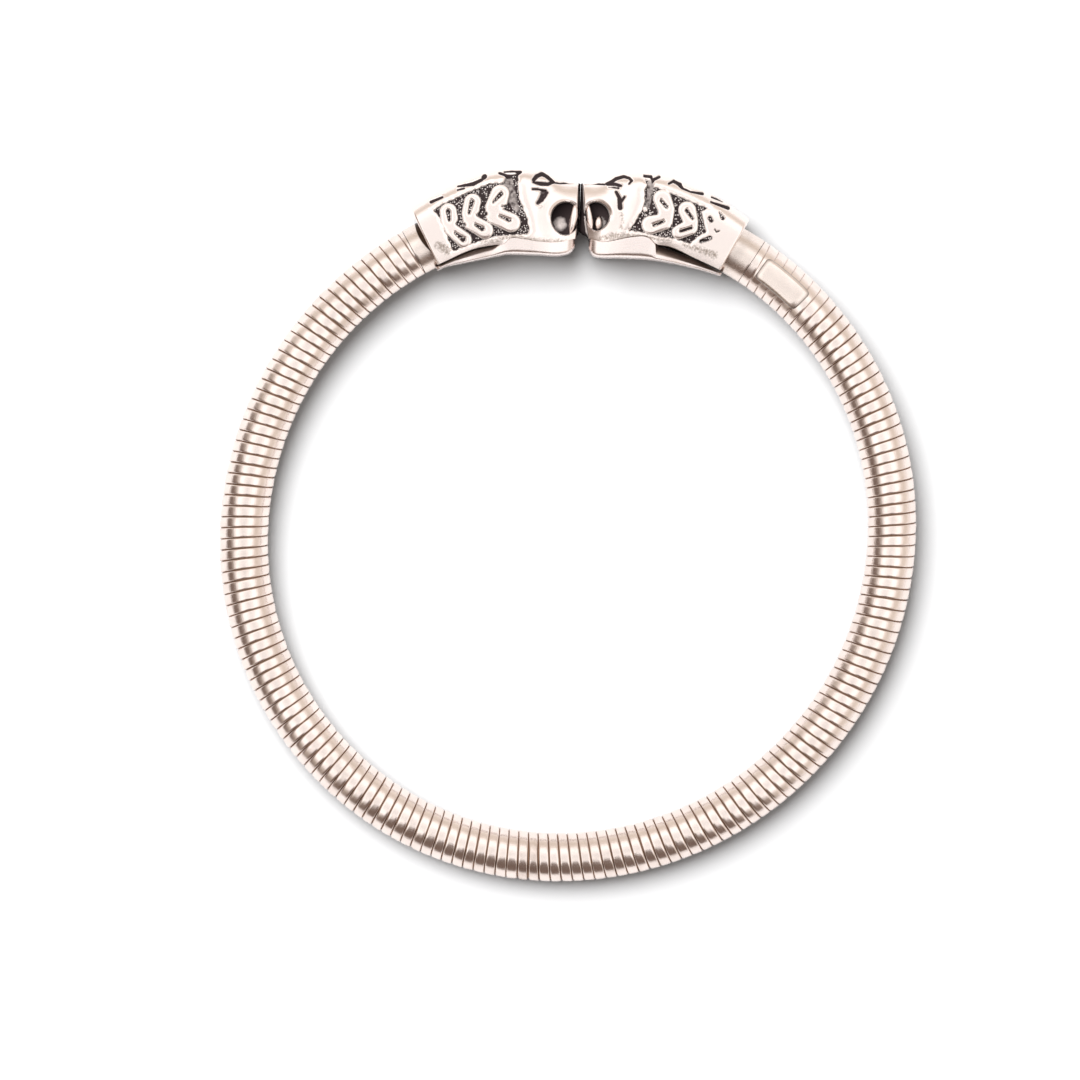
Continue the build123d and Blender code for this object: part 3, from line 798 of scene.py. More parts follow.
# %% The right head's marks
right_marks = {
    "face": [(-1.5, 5.1), (-0.2, 5.6), (0.8, 5.9), (1.7, 6.0), (2.6, 5.75), (3.5, 5.8), (4.4, 5.45)],
    "collar": [(-1.3, 11.4), (-0.4, 11.75), (0.1, 11.95), (0.8, 12.5), (1.4, 12.05), (2.5, 11.35),
               (3.1, 11.8)],
    "top": [(5.3, 4.1), (6.25, 4.0), (6.5, 3.38), (6.9, 3.38), (7.6, 3.28), (8.5, 3.15), (9.8, 3.08),
            (11.0, 3.03), (11.8, 3.08)],
    "low": [(5.0, -1.5), (6.1, -1.4), (8.4, -1.35), (9.3, -1.1), (11.5, -0.95)],
    "leaves": [(7.5, 2.42, 8.15, 1.5, 0.92, 0.84), (8.15, 1.5, 8.35, 0.3, 0.84, 0.8),
               (8.35, 0.27, 7.1, -0.45, 0.8, 0.94), (10.05, 2.1, 10.75, 1.15, 0.9, 0.75),
               (10.75, 1.15, 10.9, 0.6, 0.75, 0.77), (10.9, 0.6, 10.0, -0.3, 0.77, 0.7),
               (6.15, 1.0, 6.2, 0.9, 0.24, 0.24)],
    "notches": [(6.4, 0.55, 7.45, 0.92, 0.22, 0.04), (9.25, 0.1, 9.9, 0.9, 0.18, 0.04)],
    "slits": [(7.45, 2.2, 8.1, 1.75, 0.14, 0.16), (7.4, -0.4, 8.2, 0.25, 0.13, 0.13),
              (10.0, 2.05, 10.8, 1.5, 0.16, 0.12), (10.15, -0.12, 11.0, 0.58, 0.13, 0.13),
              (12.28, 2.22, 12.5, 2.05, 0.19, 0.19), (12.88, 3.16, 13.36, 2.8, 0.05, 0.2),
              (12.45, -0.25, 13.1, 0.42, 0.17, 0.2), (13.17, 1.39, 13.42, 1.24, 0.05, 0.05),
              (13.42, 1.24, 13.59, 1.44, 0.05, 0.05)],
    "lines": [(7.7, 4.1, 8.05, 4.5, 0.08, 0.1), (8.05, 4.45, 8.65, 4.34, 0.12, 0.17),
              (8.6, 4.33, 8.9, 4.1, 0.18, 0.12), (8.95, 4.04, 9.75, 3.98, 0.08, 0.06),
              (9.75, 3.98, 10.8, 4.22, 0.06, 0.12), (11.8, 3.78, 13.4, 3.95, 0.07, 0.15),
              (11.7, 4.25, 12.7, 4.3, 0.05, 0.05), (5.45, 4.36, 6.0, 4.42, 0.1, 0.12),
              (6.39, 4.24, 6.72, 4.55, 0.12, 0.1), (6.0, 4.42, 6.3, 4.0, 0.08, 0.08),
              (2.17, 3.04, 2.61, 3.26, 0.1, 0.15), (2.61, 3.26, 2.98, 3.62, 0.15, 0.17),
              (2.98, 3.62, 3.62, 3.94, 0.17, 0.15), (3.62, 3.94, 4.14, 3.82, 0.15, 0.12),
              (4.14, 3.82, 4.4, 3.56, 0.12, 0.1), (4.4, 3.56, 4.2, 3.18, 0.09, 0.05),
              (2.27, 2.95, 2.92, 2.99, 0.13, 0.14), (2.92, 2.99, 3.49, 2.89, 0.14, 0.1),
              (0.15, 2.77, 0.7, 2.9, 0.04, 0.06), (0.7, 2.9, 2.0, 2.92, 0.06, 0.07),
              (3.16, 2.14, 3.54, 1.56, 0.12, 0.15), (3.54, 1.56, 3.75, 0.62, 0.16, 0.2),
              (4.0, 1.77, 3.77, 1.27, 0.08, 0.1)],
    "hollows": [(2.4, 2.6, 3.3, 2.6, 0.12, 0.2)],
    "smooth": [(6.1, 3.8, 6.3, 2.5, 0.4, 0.35), (6.3, 2.5, 6.3, 1.3, 0.35, 0.3)],
    "residue": [(1.9, -2.7, 3.3, -2.45, 0.12, 0.3), (3.3, -2.4, 5.6, -1.9, 0.4, 0.25),
                (5.6, -1.9, 9.5, -1.3, 0.22, 0.15), (3.97, 0.02, 4.23, -0.72, 0.14, 0.1),
                (11.0, -1.2, 14.2, -0.9, 0.15, 0.35), (4.15, -1.1, 4.2, -1.4, 0.1, 0.1)],
    "mouth": (1.4, -0.53, 1.45, 1.45),
    "gleam": (1.95, -1.2, 0.7),
}
marks_of = {-1: left_marks, 1: right_marks}
for side, marks in marks_of.items():
    print("side", side, "has", {kind: len(rows) for kind, rows in marks.items()})

# %% [markdown]
# ## The relief of one head
# All the marks together give each point a depth below the polished skin, how black it is, how brown,
# and whether it belongs to the granulated ground. Leaves are domed like wire between their outline and
# their slit. A band of slanting strands runs over the crown, and two nostrils stand at the muzzle.

# %% The patch, the crown's band and the soft forms
MANE_HALF = 1.15
MANE_PITCH = 1.05
MANE_SLANT = 0.9


def edge_at(points, at):
    """Place of a listed edge at each value, by straight lines between its points."""
    table = np.array(points)
    return np.interp(at, table[:, 0], table[:, 1])


def patch_reach(length, rise, marks):
    """Distance into the ornament's patch from the nearest of its four edges."""
    return np.minimum.reduce([
        length - edge_at(marks["face"], rise), edge_at(marks["collar"], rise) - length,
        edge_at(marks["top"], length) - rise, rise - edge_at(marks["low"], length),
    ])


def crown_marks(station, aside):
    """Mask of the band on the crown, with two borders and slanting strands, and of the nostrils."""
    length = station * HEAD_LENGTH
    on_mane = smoothstep(0.34, 0.37, station) * smoothstep(0.93, 0.9, station)
    border = smoothstep(0.12, 0.04, np.abs(aside - MANE_HALF)) * on_mane
    phase = (length - MANE_SLANT * aside) / MANE_PITCH
    strand = smoothstep(0.15, 0.05, np.abs(phase - np.round(phase)))
    strand = strand * on_mane * smoothstep(MANE_HALF, MANE_HALF - 0.15, aside)
    nostril = smoothstep(1.0, 0.5, np.hypot((length - 0.75) / 0.35, (aside - 0.7) / 0.4))
    return np.maximum.reduce([border, 0.9 * strand, nostril])


def soft_forms(station, rise, marks):
    """Depth between the soft forms. It grows with the square of the way from the mouth, so that the
    muzzle swells, dents the face by exp(-distance^2) under the brow, and sinks before the patch."""
    length = station * HEAD_LENGTH
    mouth_u, mouth_r, mouth_long, mouth_high = marks["mouth"]
    around_mouth = np.hypot((length - mouth_u) / mouth_long, (rise - mouth_r) / mouth_high)
    muzzle = 0.16 * np.clip(around_mouth / 1.9, 0, 1) ** 2 * smoothstep(0.36, 0.2, station)
    brow = 0.1 * np.exp(-(((length - 3.3) / 1.3) ** 2) - ((rise - 2.4) / 0.7) ** 2)
    before_patch = edge_at(marks["face"], rise) - length
    cheek = 0.1 * smoothstep(0.8, 0.0, before_patch) * smoothstep(0.52, 0.36, station)
    return muzzle + brow + cheek


# %% Depth and masks over the side view
RELIEF = 0.35
WIRE = 0.42
WIRE_DOME = 0.13
SHOULDER = 0.07
SLIT_DEPTH = 0.33
LINE_DEPTH = 0.16
HOLLOW_DEPTH = 0.16
MANE_DEPTH = 0.12
RIM_OXIDE_AND_SHADE = 0.62


def relief_of(station, rise, half, side):
    """Depth in millimetres below the skin, and the masks, at each point of the outer grid.

    A wire's height over its width is a quarter round, sqrt(1 - (1 - s)^2) of the share s inside."""
    marks = marks_of[side]
    rise = seen_rise(rise, half)
    length = station * HEAD_LENGTH
    x, y = side_view(station, rise)
    leaf = np.maximum(nearest(x, y, marks["leaves"]), -nearest(x, y, marks["notches"]))
    patch = patch_reach(length, rise, marks)
    ragged = 0.05 * np.sin(length * 9.0) * np.sin(rise * 7.0)
    into_ground = np.minimum(patch + ragged, leaf)
    ground = smoothstep(-0.06, 0.08, into_ground)
    on_leaf = smoothstep(-0.1, 0.1, patch) * (leaf < 0)
    to_slit = nearest(x, y, marks["slits"])
    inside = np.clip(np.minimum(-leaf, to_slit) / WIRE, 0, 1)
    dome = WIRE_DOME * (1 - np.sqrt(1 - (1 - inside) ** 2)) * on_leaf
    shoulder = SHOULDER * smoothstep(-0.4, 0.0, into_ground) * (1 - on_leaf)
    slit = smoothstep(0.06, -0.03, to_slit)
    aside = np.abs(half)
    line = smoothstep(0.12, 0.0, nearest(x, y, marks["lines"]))
    line = line * smoothstep(0.3, 0.45, aside / HALF_WIDTH)
    hollow = smoothstep(0.1, -0.12, nearest(x, y, marks["hollows"]))
    mane = crown_marks(station, aside)
    above_lip = smoothstep(0.0, 0.9, rise - lip_line(station, side))
    depth = RELIEF * ground + dome + (shoulder + soft_forms(station, rise, marks)) * above_lip
    depth = np.maximum(depth, SLIT_DEPTH * slit)
    depth = depth + LINE_DEPTH * line * (1 - ground) + HOLLOW_DEPTH * hollow + MANE_DEPTH * mane
    smooth = smoothstep(0.15, -0.15, nearest(x, y, marks["smooth"]))
    # The relief's edge beside the ground is darkened: oxide at its foot and painted shade on its slope.
    rim = RIM_OXIDE_AND_SHADE * smoothstep(-0.15, 0.02, into_ground) * smoothstep(0.45, 0.6, aside / HALF_WIDTH)
    black = np.maximum.reduce([ground * (1 - 0.3 * smooth), slit, line, 0.8 * hollow, mane, rim])
    stipple = np.maximum(ground * (1 - smooth), slit * 0.8)
    brown = 0.6 * smoothstep(0.25, -0.3, nearest(x, y, marks["residue"]))
    return depth, np.clip(black, 0, 1), stipple, brown


# %% [markdown]
# ## Mouth, underside and ends
# The mouth is a deep bowl in each flank, open at the front. It is an ellipse in the side view, and
# inside it the flank is pressed in to a thin web between the two sides. The underside is flat, with a
# round arch over the sleeve. The front is a second grid of points, and the back is closed by triangles.

# %% The mouth
WEB_HALF = 0.9
WEB_SWELL = 0.45
MOUTH_RIM = 0.16
GLEAM = 0.55


def press_mouth(station, rise, half, side):
    """Half width with the mouth pressed in, the mouth's black, and how far each point is pressed.

    The black is oxide in the mouth and painted shade of its depth, and it covers the web too. The web
    swells with the square of the reach from the mouth's middle. The gleam is a painted highlight that
    lightens the black, and it falls off as exp(-distance^2)."""
    marks = marks_of[side]
    length = station * HEAD_LENGTH
    mouth_u, mouth_r, mouth_long, mouth_high = marks["mouth"]
    up = (seen_rise(rise, half) - mouth_r) / mouth_high
    reach = np.hypot((length - mouth_u) / mouth_long, up)
    bowl = (reach - 1) * mouth_high
    rim = MOUTH_RIM * smoothstep(0.6, 0.0, bowl) ** 2 * smoothstep(-0.4, 0.7, up)
    half = np.sign(half) * (np.abs(half) - rim)
    pressed = smoothstep(0.05, -0.12, bowl)
    web = np.minimum(np.abs(half), WEB_HALF + WEB_SWELL * np.clip(reach, 0, 1) ** 2)
    half = np.sign(half) * (np.abs(half) * (1 - pressed) + web * pressed)
    gleam_u, gleam_r, gleam_size = marks["gleam"]
    gleam = np.exp(-((length - gleam_u) ** 2 + (rise - gleam_r) ** 2) / gleam_size**2)
    return half, smoothstep(0.02, -0.08, bowl) * (1 - GLEAM * gleam), pressed


# %% The underside
UNDER_POINTS = 37
FLAT_POINTS = 6
SOCKET_RADIUS = BAND_RADIUS + FIT_CLEARANCE
SOCKET_STATION = (SLEEVE_START - along(FIT_CLEARANCE) - along(MUZZLE_GAP / 2)) / along(HEAD_LENGTH)
print("the socket begins at", round(SOCKET_STATION, 3), "of a head's length")


def sleeve_middle(station, side):
    """Rise of the sleeve's middle line over the plain ring, at each station of a head."""
    return path_rise(along(MUZZLE_GAP / 2 + station * HEAD_LENGTH), side)


def underside(station, lip_rise, lip_half, side):
    """Rise and half width under a head: flat behind each lip, and an arch of a circle in the socket.

    The arch meets the lips at a reach of sqrt(R^2 - h^2), where h is their height over its middle."""
    centre = sleeve_middle(station, side)[:, None]
    reach = np.clip(SOCKET_RADIUS**2 - (lip_rise - centre) ** 2, 0.05, None) ** 0.5
    edge_angle = np.arcsin(np.clip(reach / SOCKET_RADIUS, 0, 1))
    edge_angle = np.where(lip_rise < centre, np.pi - edge_angle, edge_angle)
    share = np.linspace(-1, 1, UNDER_POINTS - 2 * FLAT_POINTS)[None, :]
    in_socket = station[:, None] > SOCKET_STATION
    arch_r = np.where(in_socket, centre + SOCKET_RADIUS * np.cos(share * edge_angle), lip_rise)
    arch_z = np.where(in_socket, SOCKET_RADIUS * np.sin(share * edge_angle), share * reach)
    flat = np.linspace(1, 0, FLAT_POINTS + 1)[None, 1:]
    flat_z = -(reach + (lip_half - reach) * flat)
    flat_r = lip_rise + 0 * flat_z
    under_r = np.concatenate([flat_r, arch_r, flat_r], axis=1)
    under_z = np.concatenate([flat_z, arch_z, -flat_z[:, ::-1]], axis=1)
    return under_r, under_z


# %% The front, and the faces of a whole head
CAP_POINTS = 11
CAP_CLEARANCE = 0.015


def muzzle_cap(station, rise, half):
    """Grid across the front. Its middle is pushed forward, by 1 - s^2, until the muzzles almost meet."""
    middle = OUTER_POINTS // 2
    share = np.linspace(-1, 1, CAP_POINTS)[None, :]
    cap = []
    for row in (station, rise, half):
        near, far = row[:middle, None], row[::-1][:middle, None]
        cap.append(near + (far - near) * (share + 1) / 2)
    ease = np.clip(np.abs(half[:middle, None]), 0, 1) * smoothstep(0, 12, np.arange(middle))[:, None]
    meeting = (CAP_CLEARANCE - MUZZLE_GAP / 2) / HEAD_LENGTH
    cap[0] = cap[0] + (meeting - cap[0]) * (1 - share**2) * ease
    return cap


def head_faces(rows, columns):
    """Faces of the skin's grid, of the front's grid, and triangles that close the back."""
    middle = OUTER_POINTS // 2
    first_cap = rows * columns
    top_row = first_cap + (middle - 1) * CAP_POINTS
    crown = [middle - 1, middle, middle + 1, *range(top_row + CAP_POINTS - 2, top_row, -1)]
    lips = [0, *range(first_cap + 1, first_cap + CAP_POINTS - 1), *range(OUTER_POINTS - 1, columns)]
    last_row = first_cap - columns
    outer_line = last_row + np.arange(OUTER_POINTS)
    under_line = last_row + np.array([0, *range(columns - 1, OUTER_POINTS - 2, -1)])
    back = [face for face in bridge(outer_line, under_line) if len(set(face)) == 3]
    skin = grid_faces(rows, columns, close_columns=True).tolist()
    front = (first_cap + grid_faces(middle, CAP_POINTS)).tolist()
    return skin + front + [crown, lips] + back


# %% The closed mesh of a head
ROWS = 296
FRONT_ROLL = 0.09
BACK_ROLL = 0.25
DRAW_BACK = 0.14
FULL_BLACK = 1.3
SEAM_STAIN = 0.5


def rolled_edge(distance, radius):
    """Drop of a quarter round at a distance from its end: R - sqrt(R^2 - (R - d)^2)."""
    into = np.clip(radius - distance, 0, None)
    return radius - np.sqrt(np.clip(radius**2 - into**2, 0, None))


def head_stations():
    """Stations of the rows: close together at the front, even behind, and a pair at the socket."""
    front = 0.016 * np.linspace(0, 1, 14) ** 1.5
    pair = [SOCKET_STATION - 1e-4, SOCKET_STATION + 1e-4]
    return np.sort(np.concatenate([front, np.linspace(0.019, 1, ROWS), pair]))


def cast_head(name, side):
    """Sections joined into a closed skin: outer side, underside with the sleeve's socket, two ends.

    The relief moves each point inwards along its section's normal, and the front draws back."""
    station = head_stations()
    rise, half = outer_section(station, side)
    outer_s = station[:, None] + 0 * rise
    depth, black, stipple, brown = relief_of(outer_s, rise, half, side)
    from_front = station[:, None] * HEAD_LENGTH
    from_back = (1 - station[:, None]) * HEAD_LENGTH
    depth = depth + rolled_edge(from_front, FRONT_ROLL) + rolled_edge(from_back, BACK_ROLL)
    normal_r, normal_z = section_normals(rise, half)
    rise = rise - normal_r * depth
    half = half - normal_z * depth
    half, mouth_oxide_and_shade, pressed = press_mouth(outer_s, rise, half, side)
    black = FULL_BLACK * np.maximum(black, mouth_oxide_and_shade)
    back = np.interp(rise, *front_points[side].T)
    outer_s = outer_s + back * np.clip(1 - outer_s / DRAW_BACK, 0, 1) / HEAD_LENGTH
    under_r, under_z = underside(station, rise[:, :1], np.abs(half[:, :1]), side)
    cap_s, cap_r, cap_z = muzzle_cap(outer_s[0], rise[0], half[0])
    # The muzzle's front faces are painted black: painted shade in the narrow gap between the two muzzles.
    cap_painted_shade = smoothstep(1.0, 0.8, np.abs(np.linspace(-1, 1, CAP_POINTS))) + 0 * cap_r

    def whole(outer, under, cap):
        """Values of the outer side, the underside and the front in the order of the faces."""
        return np.append(np.concatenate([outer, under + 0 * under_r], axis=1), cap + 0 * cap_r)

    x, y = side_view(whole(outer_s, outer_s[:, :1], cap_s), whole(rise, under_r, cap_r))
    points = np.stack([side * x, y, whole(half, under_z, cap_z)], axis=-1)
    masks = {
        "tarnish": whole(black, SEAM_STAIN, FULL_BLACK * cap_painted_shade),
        "stipple": whole(stipple * (1 - pressed), 0, 0),
        "residue": whole(brown, SEAM_STAIN, 0),
        "flow": points,
    }
    faces = head_faces(len(station), OUTER_POINTS + UNDER_POINTS)
    node = "right_head" if side > 0 else "left_head"
    return make_piece(name, points, faces, head_silver, [node], masks, crease=45)


cast_head("left_cat_head", -1)
cast_head("right_cat_head", 1)

# %% [markdown]
# ## The long teeth
# A tooth closes the front of each side of the mouth. It is a spindle: circles along a curve that bends
# through three points, widest near the middle and pointed at the lower end. A short fang stands behind
# it in the right mouth.

# %% Teeth as spindles
TOOTH_STEPS = 30
TOOTH_POINTS = 28
TOOTH_FLATNESS = 0.8


def tooth(name, side, line, depth, thickness):
    """Circles along (1-t)^2 A + 2t(1-t) B + t^2 C, whose radius swells and then tapers."""
    top, middle, foot = [
        np.array([*side_view(length / HEAD_LENGTH, rise), z]) for (length, rise), z in zip(line, depth)
    ]
    share = np.linspace(0, 1, TOOTH_STEPS)[:, None]
    around = np.linspace(0, 2 * np.pi, TOOTH_POINTS, endpoint=False)[None, :, None]
    radius = thickness * np.clip(np.sin(np.pi * (0.12 + 0.86 * share)), 0.02, None) ** 0.7
    control = 2 * middle - (top + foot) / 2
    path = (1 - share) ** 2 * top + 2 * share * (1 - share) * control + share**2 * foot
    axis = (foot - top) / np.linalg.norm(foot - top)
    first = np.cross(axis, [0, 0, 1.0])
    first /= np.linalg.norm(first)
    second = np.cross(axis, first) * TOOTH_FLATNESS
    points = path[:, None, :] + radius[..., None] * (np.cos(around) * first + np.sin(around) * second)
    points[..., 0] *= side
    faces = capped_faces(TOOTH_STEPS, TOOTH_POINTS)
    masks = {mask: np.zeros(points.size // 3) for mask in ("tarnish", "stipple", "residue")}
    masks["flow"] = points.reshape(-1, 3)
    node = "right_head" if side > 0 else "left_head"
    return make_piece(name, points, faces, head_silver, [node], masks)


# %% The six teeth
# Length from the muzzle and rise at top, middle and foot of each.
tooth_lines = {
    -1: [(0.25, 0.45), (0.42, -1.0), (0.75, -2.5)],
    1: [(0.55, 0.5), (0.85, -0.9), (1.12, -2.35)],
}
tooth_thickness = {-1: 0.4, 1: 0.3}
fang_line = [(1.78, -0.6), (1.78, -1.3), (1.75, -2.05)]
fang_thickness = 0.4
tooth_depth = np.array([1.8, 2.0, 1.9])
fang_depth = np.array([1.5, 1.6, 1.6])
for side, word in ((-1, "left"), (1, "right")):
    for face, place in ((1, "upper"), (-1, "lower")):
        tooth(
            f"{word}_tooth_{place}", side, tooth_lines[side], tooth_depth * face, tooth_thickness[side]
        )
        if side > 0:
            tooth(f"right_fang_{place}", side, fang_line, fang_depth * face, fang_thickness)

# %% [markdown]
# ## The jaw plates
# Under each head lies a smooth plate, soldered on along the lip, and a thin tongue runs back from it
# beside the sleeve. One closed surface gives both: a rounded section whose top, underside and width
# change along the stations, with a steep step where the tongue begins.

# %% Lines along plate and tongue
# Columns: station and underside, as shares.
jaw_sections = np.array([(0.00, 0.92), (0.11, 1.00), (0.30, 0.95), (0.52, 0.83)])
JAW_FRONT = {-1: 0.2, 1: 0.95}
JAW_ROOT = 0.52
JAW_OVERLAP = 0.35
JAW_INSET = 0.03
JAW_OPENING = {-1: 0.1, 1: 0.03}
CHIN_ROUND = 0.9
TIP_ROUND = 0.5
TONGUE_LENGTH = 7.8
TONGUE_HALF = 1.7
TONGUE_ROOT = 0.75
TONGUE_TIP = 0.22
TIP_RISE = {-1: -2.65, 1: -2.3}
OVER_BOW = 0.4
UNDER_BOW = {-1: 0.9, 1: 0.2}


def jaw_stations(side):
    """Stations of the rows, close together at the chin, at the step and at the tongue's tip."""
    start = JAW_FRONT[side] / HEAD_LENGTH
    tip = JAW_ROOT + TONGUE_LENGTH / HEAD_LENGTH
    return np.concatenate([
        start + 0.06 * np.linspace(0, 1, 20) ** 2, np.linspace(start + 0.064, JAW_ROOT - 0.03, 56),
        np.linspace(JAW_ROOT - 0.026, JAW_ROOT + 0.03, 24),
        np.linspace(JAW_ROOT + 0.036, tip - 0.01, 66), np.linspace(tip - 0.008, tip, 7),
    ])


def tongue_lines(station, on_tongue, side):
    """Upper side and underside of the tongue: straight lines that hang by 4t(1-t) quarters of a bow,
    kept under the sleeve and at least as thick as the tip."""
    bow = on_tongue * (1 - on_tongue)
    root = -jaw_sections[-1, 1] * JAW_DROP
    over = (TONGUE_ROOT + root) * (1 - on_tongue) + TIP_RISE[side] * on_tongue - OVER_BOW * bow
    under = root * (1 - on_tongue) + (TIP_RISE[side] - TONGUE_TIP) * on_tongue - UNDER_BOW[side] * bow
    over = np.minimum(over, sleeve_middle(station, side) - SOCKET_RADIUS - 0.01)
    return over, np.minimum(under, over - TONGUE_TIP)


# %% Plate and tongue as one skin
JAW_POINTS = 96
JAW_POWER = 6.5
JAW_UNDER_SHARE = 0.97
ROOF_POWER = {-1: 14, 1: 6}
ROOF_CLEARANCE = {-1: 0.05, 1: 0.02}
WEDGE_STAIN_AND_SHADE = {-1: 0.2, 1: 0.7}


def jaw_plate(name, side):
    """Superelliptic sections round a middle line, from the chin to the tip of the tongue.

    On the tongue the upper side rises like a roof towards the sleeve, which closes the wedge
    between them."""
    station = jaw_stations(side)
    plate_at = np.minimum(station, JAW_ROOT)
    on_tongue = np.clip((station - JAW_ROOT) / (station[-1] - JAW_ROOT), 0, 1)
    over_line, under_line = tongue_lines(station, on_tongue, side)
    step = smoothstep(JAW_ROOT - 0.01, JAW_ROOT + JAW_OPENING[side], station)
    top = (lip_line(plate_at, side) + JAW_OVERLAP) * (1 - step) + over_line * step
    under = -smooth_line(jaw_sections[:, 0], jaw_sections[:, 1], plate_at) * JAW_DROP
    under = np.where(on_tongue > 0, under_line, under)
    narrowing = smoothstep(JAW_ROOT - 0.05, 0.9, station)
    plate_half = head_line(4, plate_at) * HALF_WIDTH - JAW_INSET
    half_width = plate_half * (1 - narrowing) + TONGUE_HALF * narrowing
    chin = rolled_edge((station - station[0]) * HEAD_LENGTH, CHIN_ROUND)
    under = under + 0.8 * chin
    half_width = half_width - 0.6 * chin
    half_width = half_width - 1.2 * rolled_edge((station[-1] - station) * HEAD_LENGTH, TIP_ROUND)
    around = np.linspace(0, 2 * np.pi, JAW_POINTS, endpoint=False)[None, :]
    level = np.sign(np.sin(around)) * np.abs(np.sin(around)) ** (2 / JAW_POWER)
    sideways = np.sign(np.cos(around)) * np.abs(np.cos(around)) ** (2 / JAW_POWER)
    rise = (top + under)[:, None] / 2 + (top - under)[:, None] / 2 * level
    ceiling = lip_line(station, side) if side < 0 else sleeve_middle(station, side) - SOCKET_RADIUS
    roof = np.clip(ceiling - ROOF_CLEARANCE[side] - over_line, 0, None)[:, None] * step[:, None]
    rise = rise + roof * smoothstep(0.2, 1.0, level) * (1 - np.abs(sideways) ** ROOF_POWER[side])
    slant = (1 + JAW_UNDER_SHARE) / 2 + (1 - JAW_UNDER_SHARE) / 2 * level
    x, y = side_view(station[:, None] + 0 * rise, rise)
    points = np.stack([side * x, y, half_width[:, None] * slant * sideways], axis=-1)
    faces = capped_faces(len(station), JAW_POINTS)
    seam = smoothstep(0.6, 1.0, level) * (1 - step[:, None]) * 0.15
    # The wedge between tongue and sleeve is darkened: tarnish in the narrow gap and painted shade of it.
    in_wedge = smoothstep(0.3, 0.8, level) * (step * smoothstep(1.0, 0.75, on_tongue))[:, None]
    stain = np.clip(seam + WEDGE_STAIN_AND_SHADE[side] * in_wedge, 0, 1)
    masks = {"tarnish": stain, "flow": points.reshape(-1, 3)}
    node = "right_jaw_plate" if side > 0 else "left_jaw_plate"
    return make_piece(name, points, faces, plate_silver, [node], masks, crease=50)


jaw_plate("left_jaw", -1)
jaw_plate("right_jaw", 1)

# %% [markdown]
# ## Floor, light and camera
# The bangle lies on a plain pale floor. Polished silver shows what stands round it more than its own
# colour, so the light is a bright soft ceiling with a darker side towards the lower left, and one large
# lamp from the upper left that only throws the soft shadow.

# %% The floor
FLOOR_COLOUR = (0.306, 0.307, 0.311, 1)
floor_mesh = bpy.data.meshes.new("floor")
floor_mesh.from_pydata([(-3, -3, 0), (3, -3, 0), (3, 3, 0), (-3, 3, 0)], [], [(0, 1, 2, 3)])
floor = bpy.data.objects.new("floor", floor_mesh)
bpy.context.scene.collection.objects.link(floor)
floor_paint = bpy.data.materials.new("floor_paint")
floor_paint.use_nodes = True
floor_shader = floor_paint.node_tree.nodes["Principled BSDF"]
floor_shader.inputs["Base Color"].default_value = FLOOR_COLOUR
floor_shader.inputs["Roughness"].default_value = 0.9
floor_shader.inputs["Specular IOR Level"].default_value = 0.1
floor_mesh.materials.append(floor_paint)
print("floor paint", FLOOR_COLOUR[:3])

# %% The room's light
# Columns: height of a direction, from level at 0 to straight up at 1, its brightness, and its warmth.
light_stops = (
    (0.0, 1.0, 0.02), (0.16, 0.9, 0.05), (0.34, 0.74, 0.1), (0.5, 0.72, 0.1), (0.64, 0.9, 0.06),
    (0.74, 1.3, 0.0), (0.88, 1.42, 0.0), (1.0, 1.38, 0.0),
)
world = bpy.data.worlds.new("studio")
bpy.context.scene.world = world
world.use_nodes = True
sky = world.node_tree
background = sky.nodes["Background"]
split = add_node(sky, "SeparateXYZ", Vector=add_node(sky, "TexCoord").outputs["Generated"])
height = add_node(sky, "ValToRGB", Fac=split.outputs["Z"])
for position, shade, warmth in light_stops:
    stop = height.color_ramp.elements.new(position)
    stop.color = (shade * (1 + warmth), shade, shade * (1 - warmth), 1)
height.color_ramp.elements.remove(height.color_ramp.elements[0])
height.color_ramp.elements.remove(height.color_ramp.elements[-1])
print("the room's light is a ramp of", len(height.color_ramp.elements), "stops")

# %% [markdown]
# The darker side is a mask of two directions, the larger of which counts: one towards the bottom of the
# picture that narrows away from its middle, and a weaker one towards the left. It covers only what
# stands above the floor.

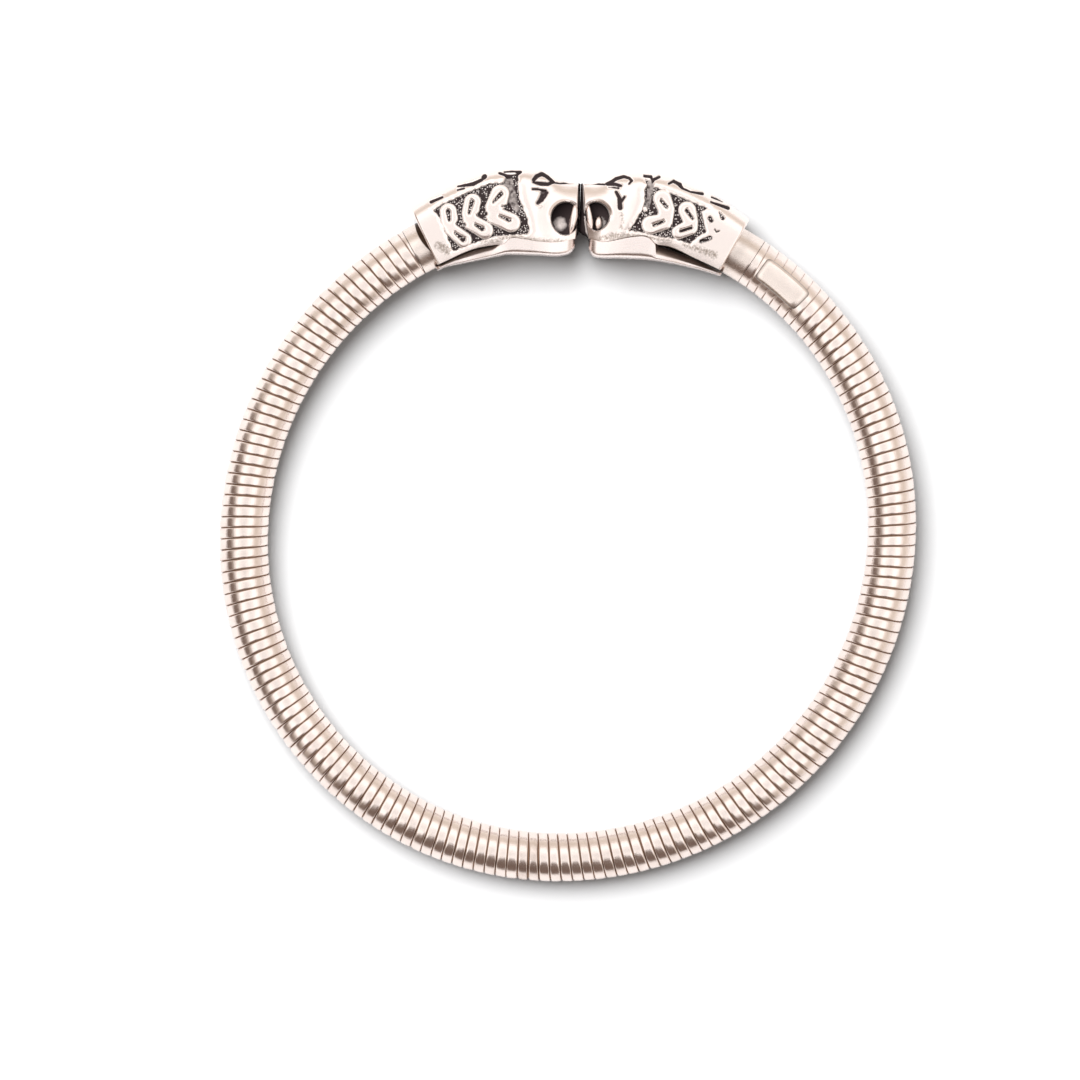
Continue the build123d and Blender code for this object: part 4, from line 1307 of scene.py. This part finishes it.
# %% The room's darker side
DARK_SIDE_COLOUR = (0.15, 0.1, 0.08, 1)
across_x = math_node(sky, "MULTIPLY", math_node(sky, "ABSOLUTE", split.outputs["X"]), -0.55)
below = math_node(sky, "MULTIPLY_ADD", split.outputs["Y"], -0.9, across_x)
leftwards = math_node(sky, "MULTIPLY_ADD", split.outputs["X"], -0.45, -0.05)
beside = math_node(sky, "MULTIPLY_ADD", split.outputs["Y"], -0.1, leftwards)
pull = math_node(sky, "MAXIMUM", below, beside)
dark_side = add_node(sky, "MapRange", soft_range, Value=pull, From_Min=0.22, From_Max=0.38, To_Max=0.95)
wall = add_node(sky, "MapRange", soft_range, Value=split.outputs["Z"], From_Min=-0.02, From_Max=0.14)
dark_share = math_node(sky, "MULTIPLY", dark_side.outputs[0], wall.outputs[0])
colour = mix_colour(sky, dark_share, height.outputs["Color"], DARK_SIDE_COLOUR)
sky.links.new(colour, background.inputs["Color"])
print("the room has", len(sky.nodes), "nodes")

# %% The lamp
lamp_data = bpy.data.lights.new("shadow_lamp", "AREA")
lamp_data.shape = "DISK"
lamp_data.size = 0.74
lamp_data.energy = 35.0
lamp = bpy.data.objects.new("shadow_lamp", lamp_data)
bpy.context.scene.collection.objects.link(lamp)
lamp.location = (-0.29, 0.31, 0.87)
lamp.rotation_euler = (-lamp.location).to_track_quat("-Z", "Y").to_euler()
lamp.visible_glossy = False
print("lamp", round(lamp.location.length, 2), "m from the bangle")

# %% The camera, straight above
FRAME_SPAN = 0.108
RING_HEIGHT = 0.0031
CAMERA_ROLL = 2.1
camera_data = bpy.data.cameras.new("camera")
camera_data.lens = 200
camera_data.sensor_width = 36
camera = bpy.data.objects.new("camera", camera_data)
bpy.context.scene.collection.objects.link(camera)
distance = FRAME_SPAN * camera_data.lens / camera_data.sensor_width
camera.location = (-0.00276, -0.00075, RING_HEIGHT + distance)
camera.rotation_euler = (0, 0, radians(CAMERA_ROLL))
camera_data.clip_start = 0.01
camera_data.clip_end = 20
bpy.context.scene.camera = camera
bpy.context.scene.view_settings.view_transform = "Standard"
print("camera at", [round(value * 1000, 1) for value in camera.location], "mm")
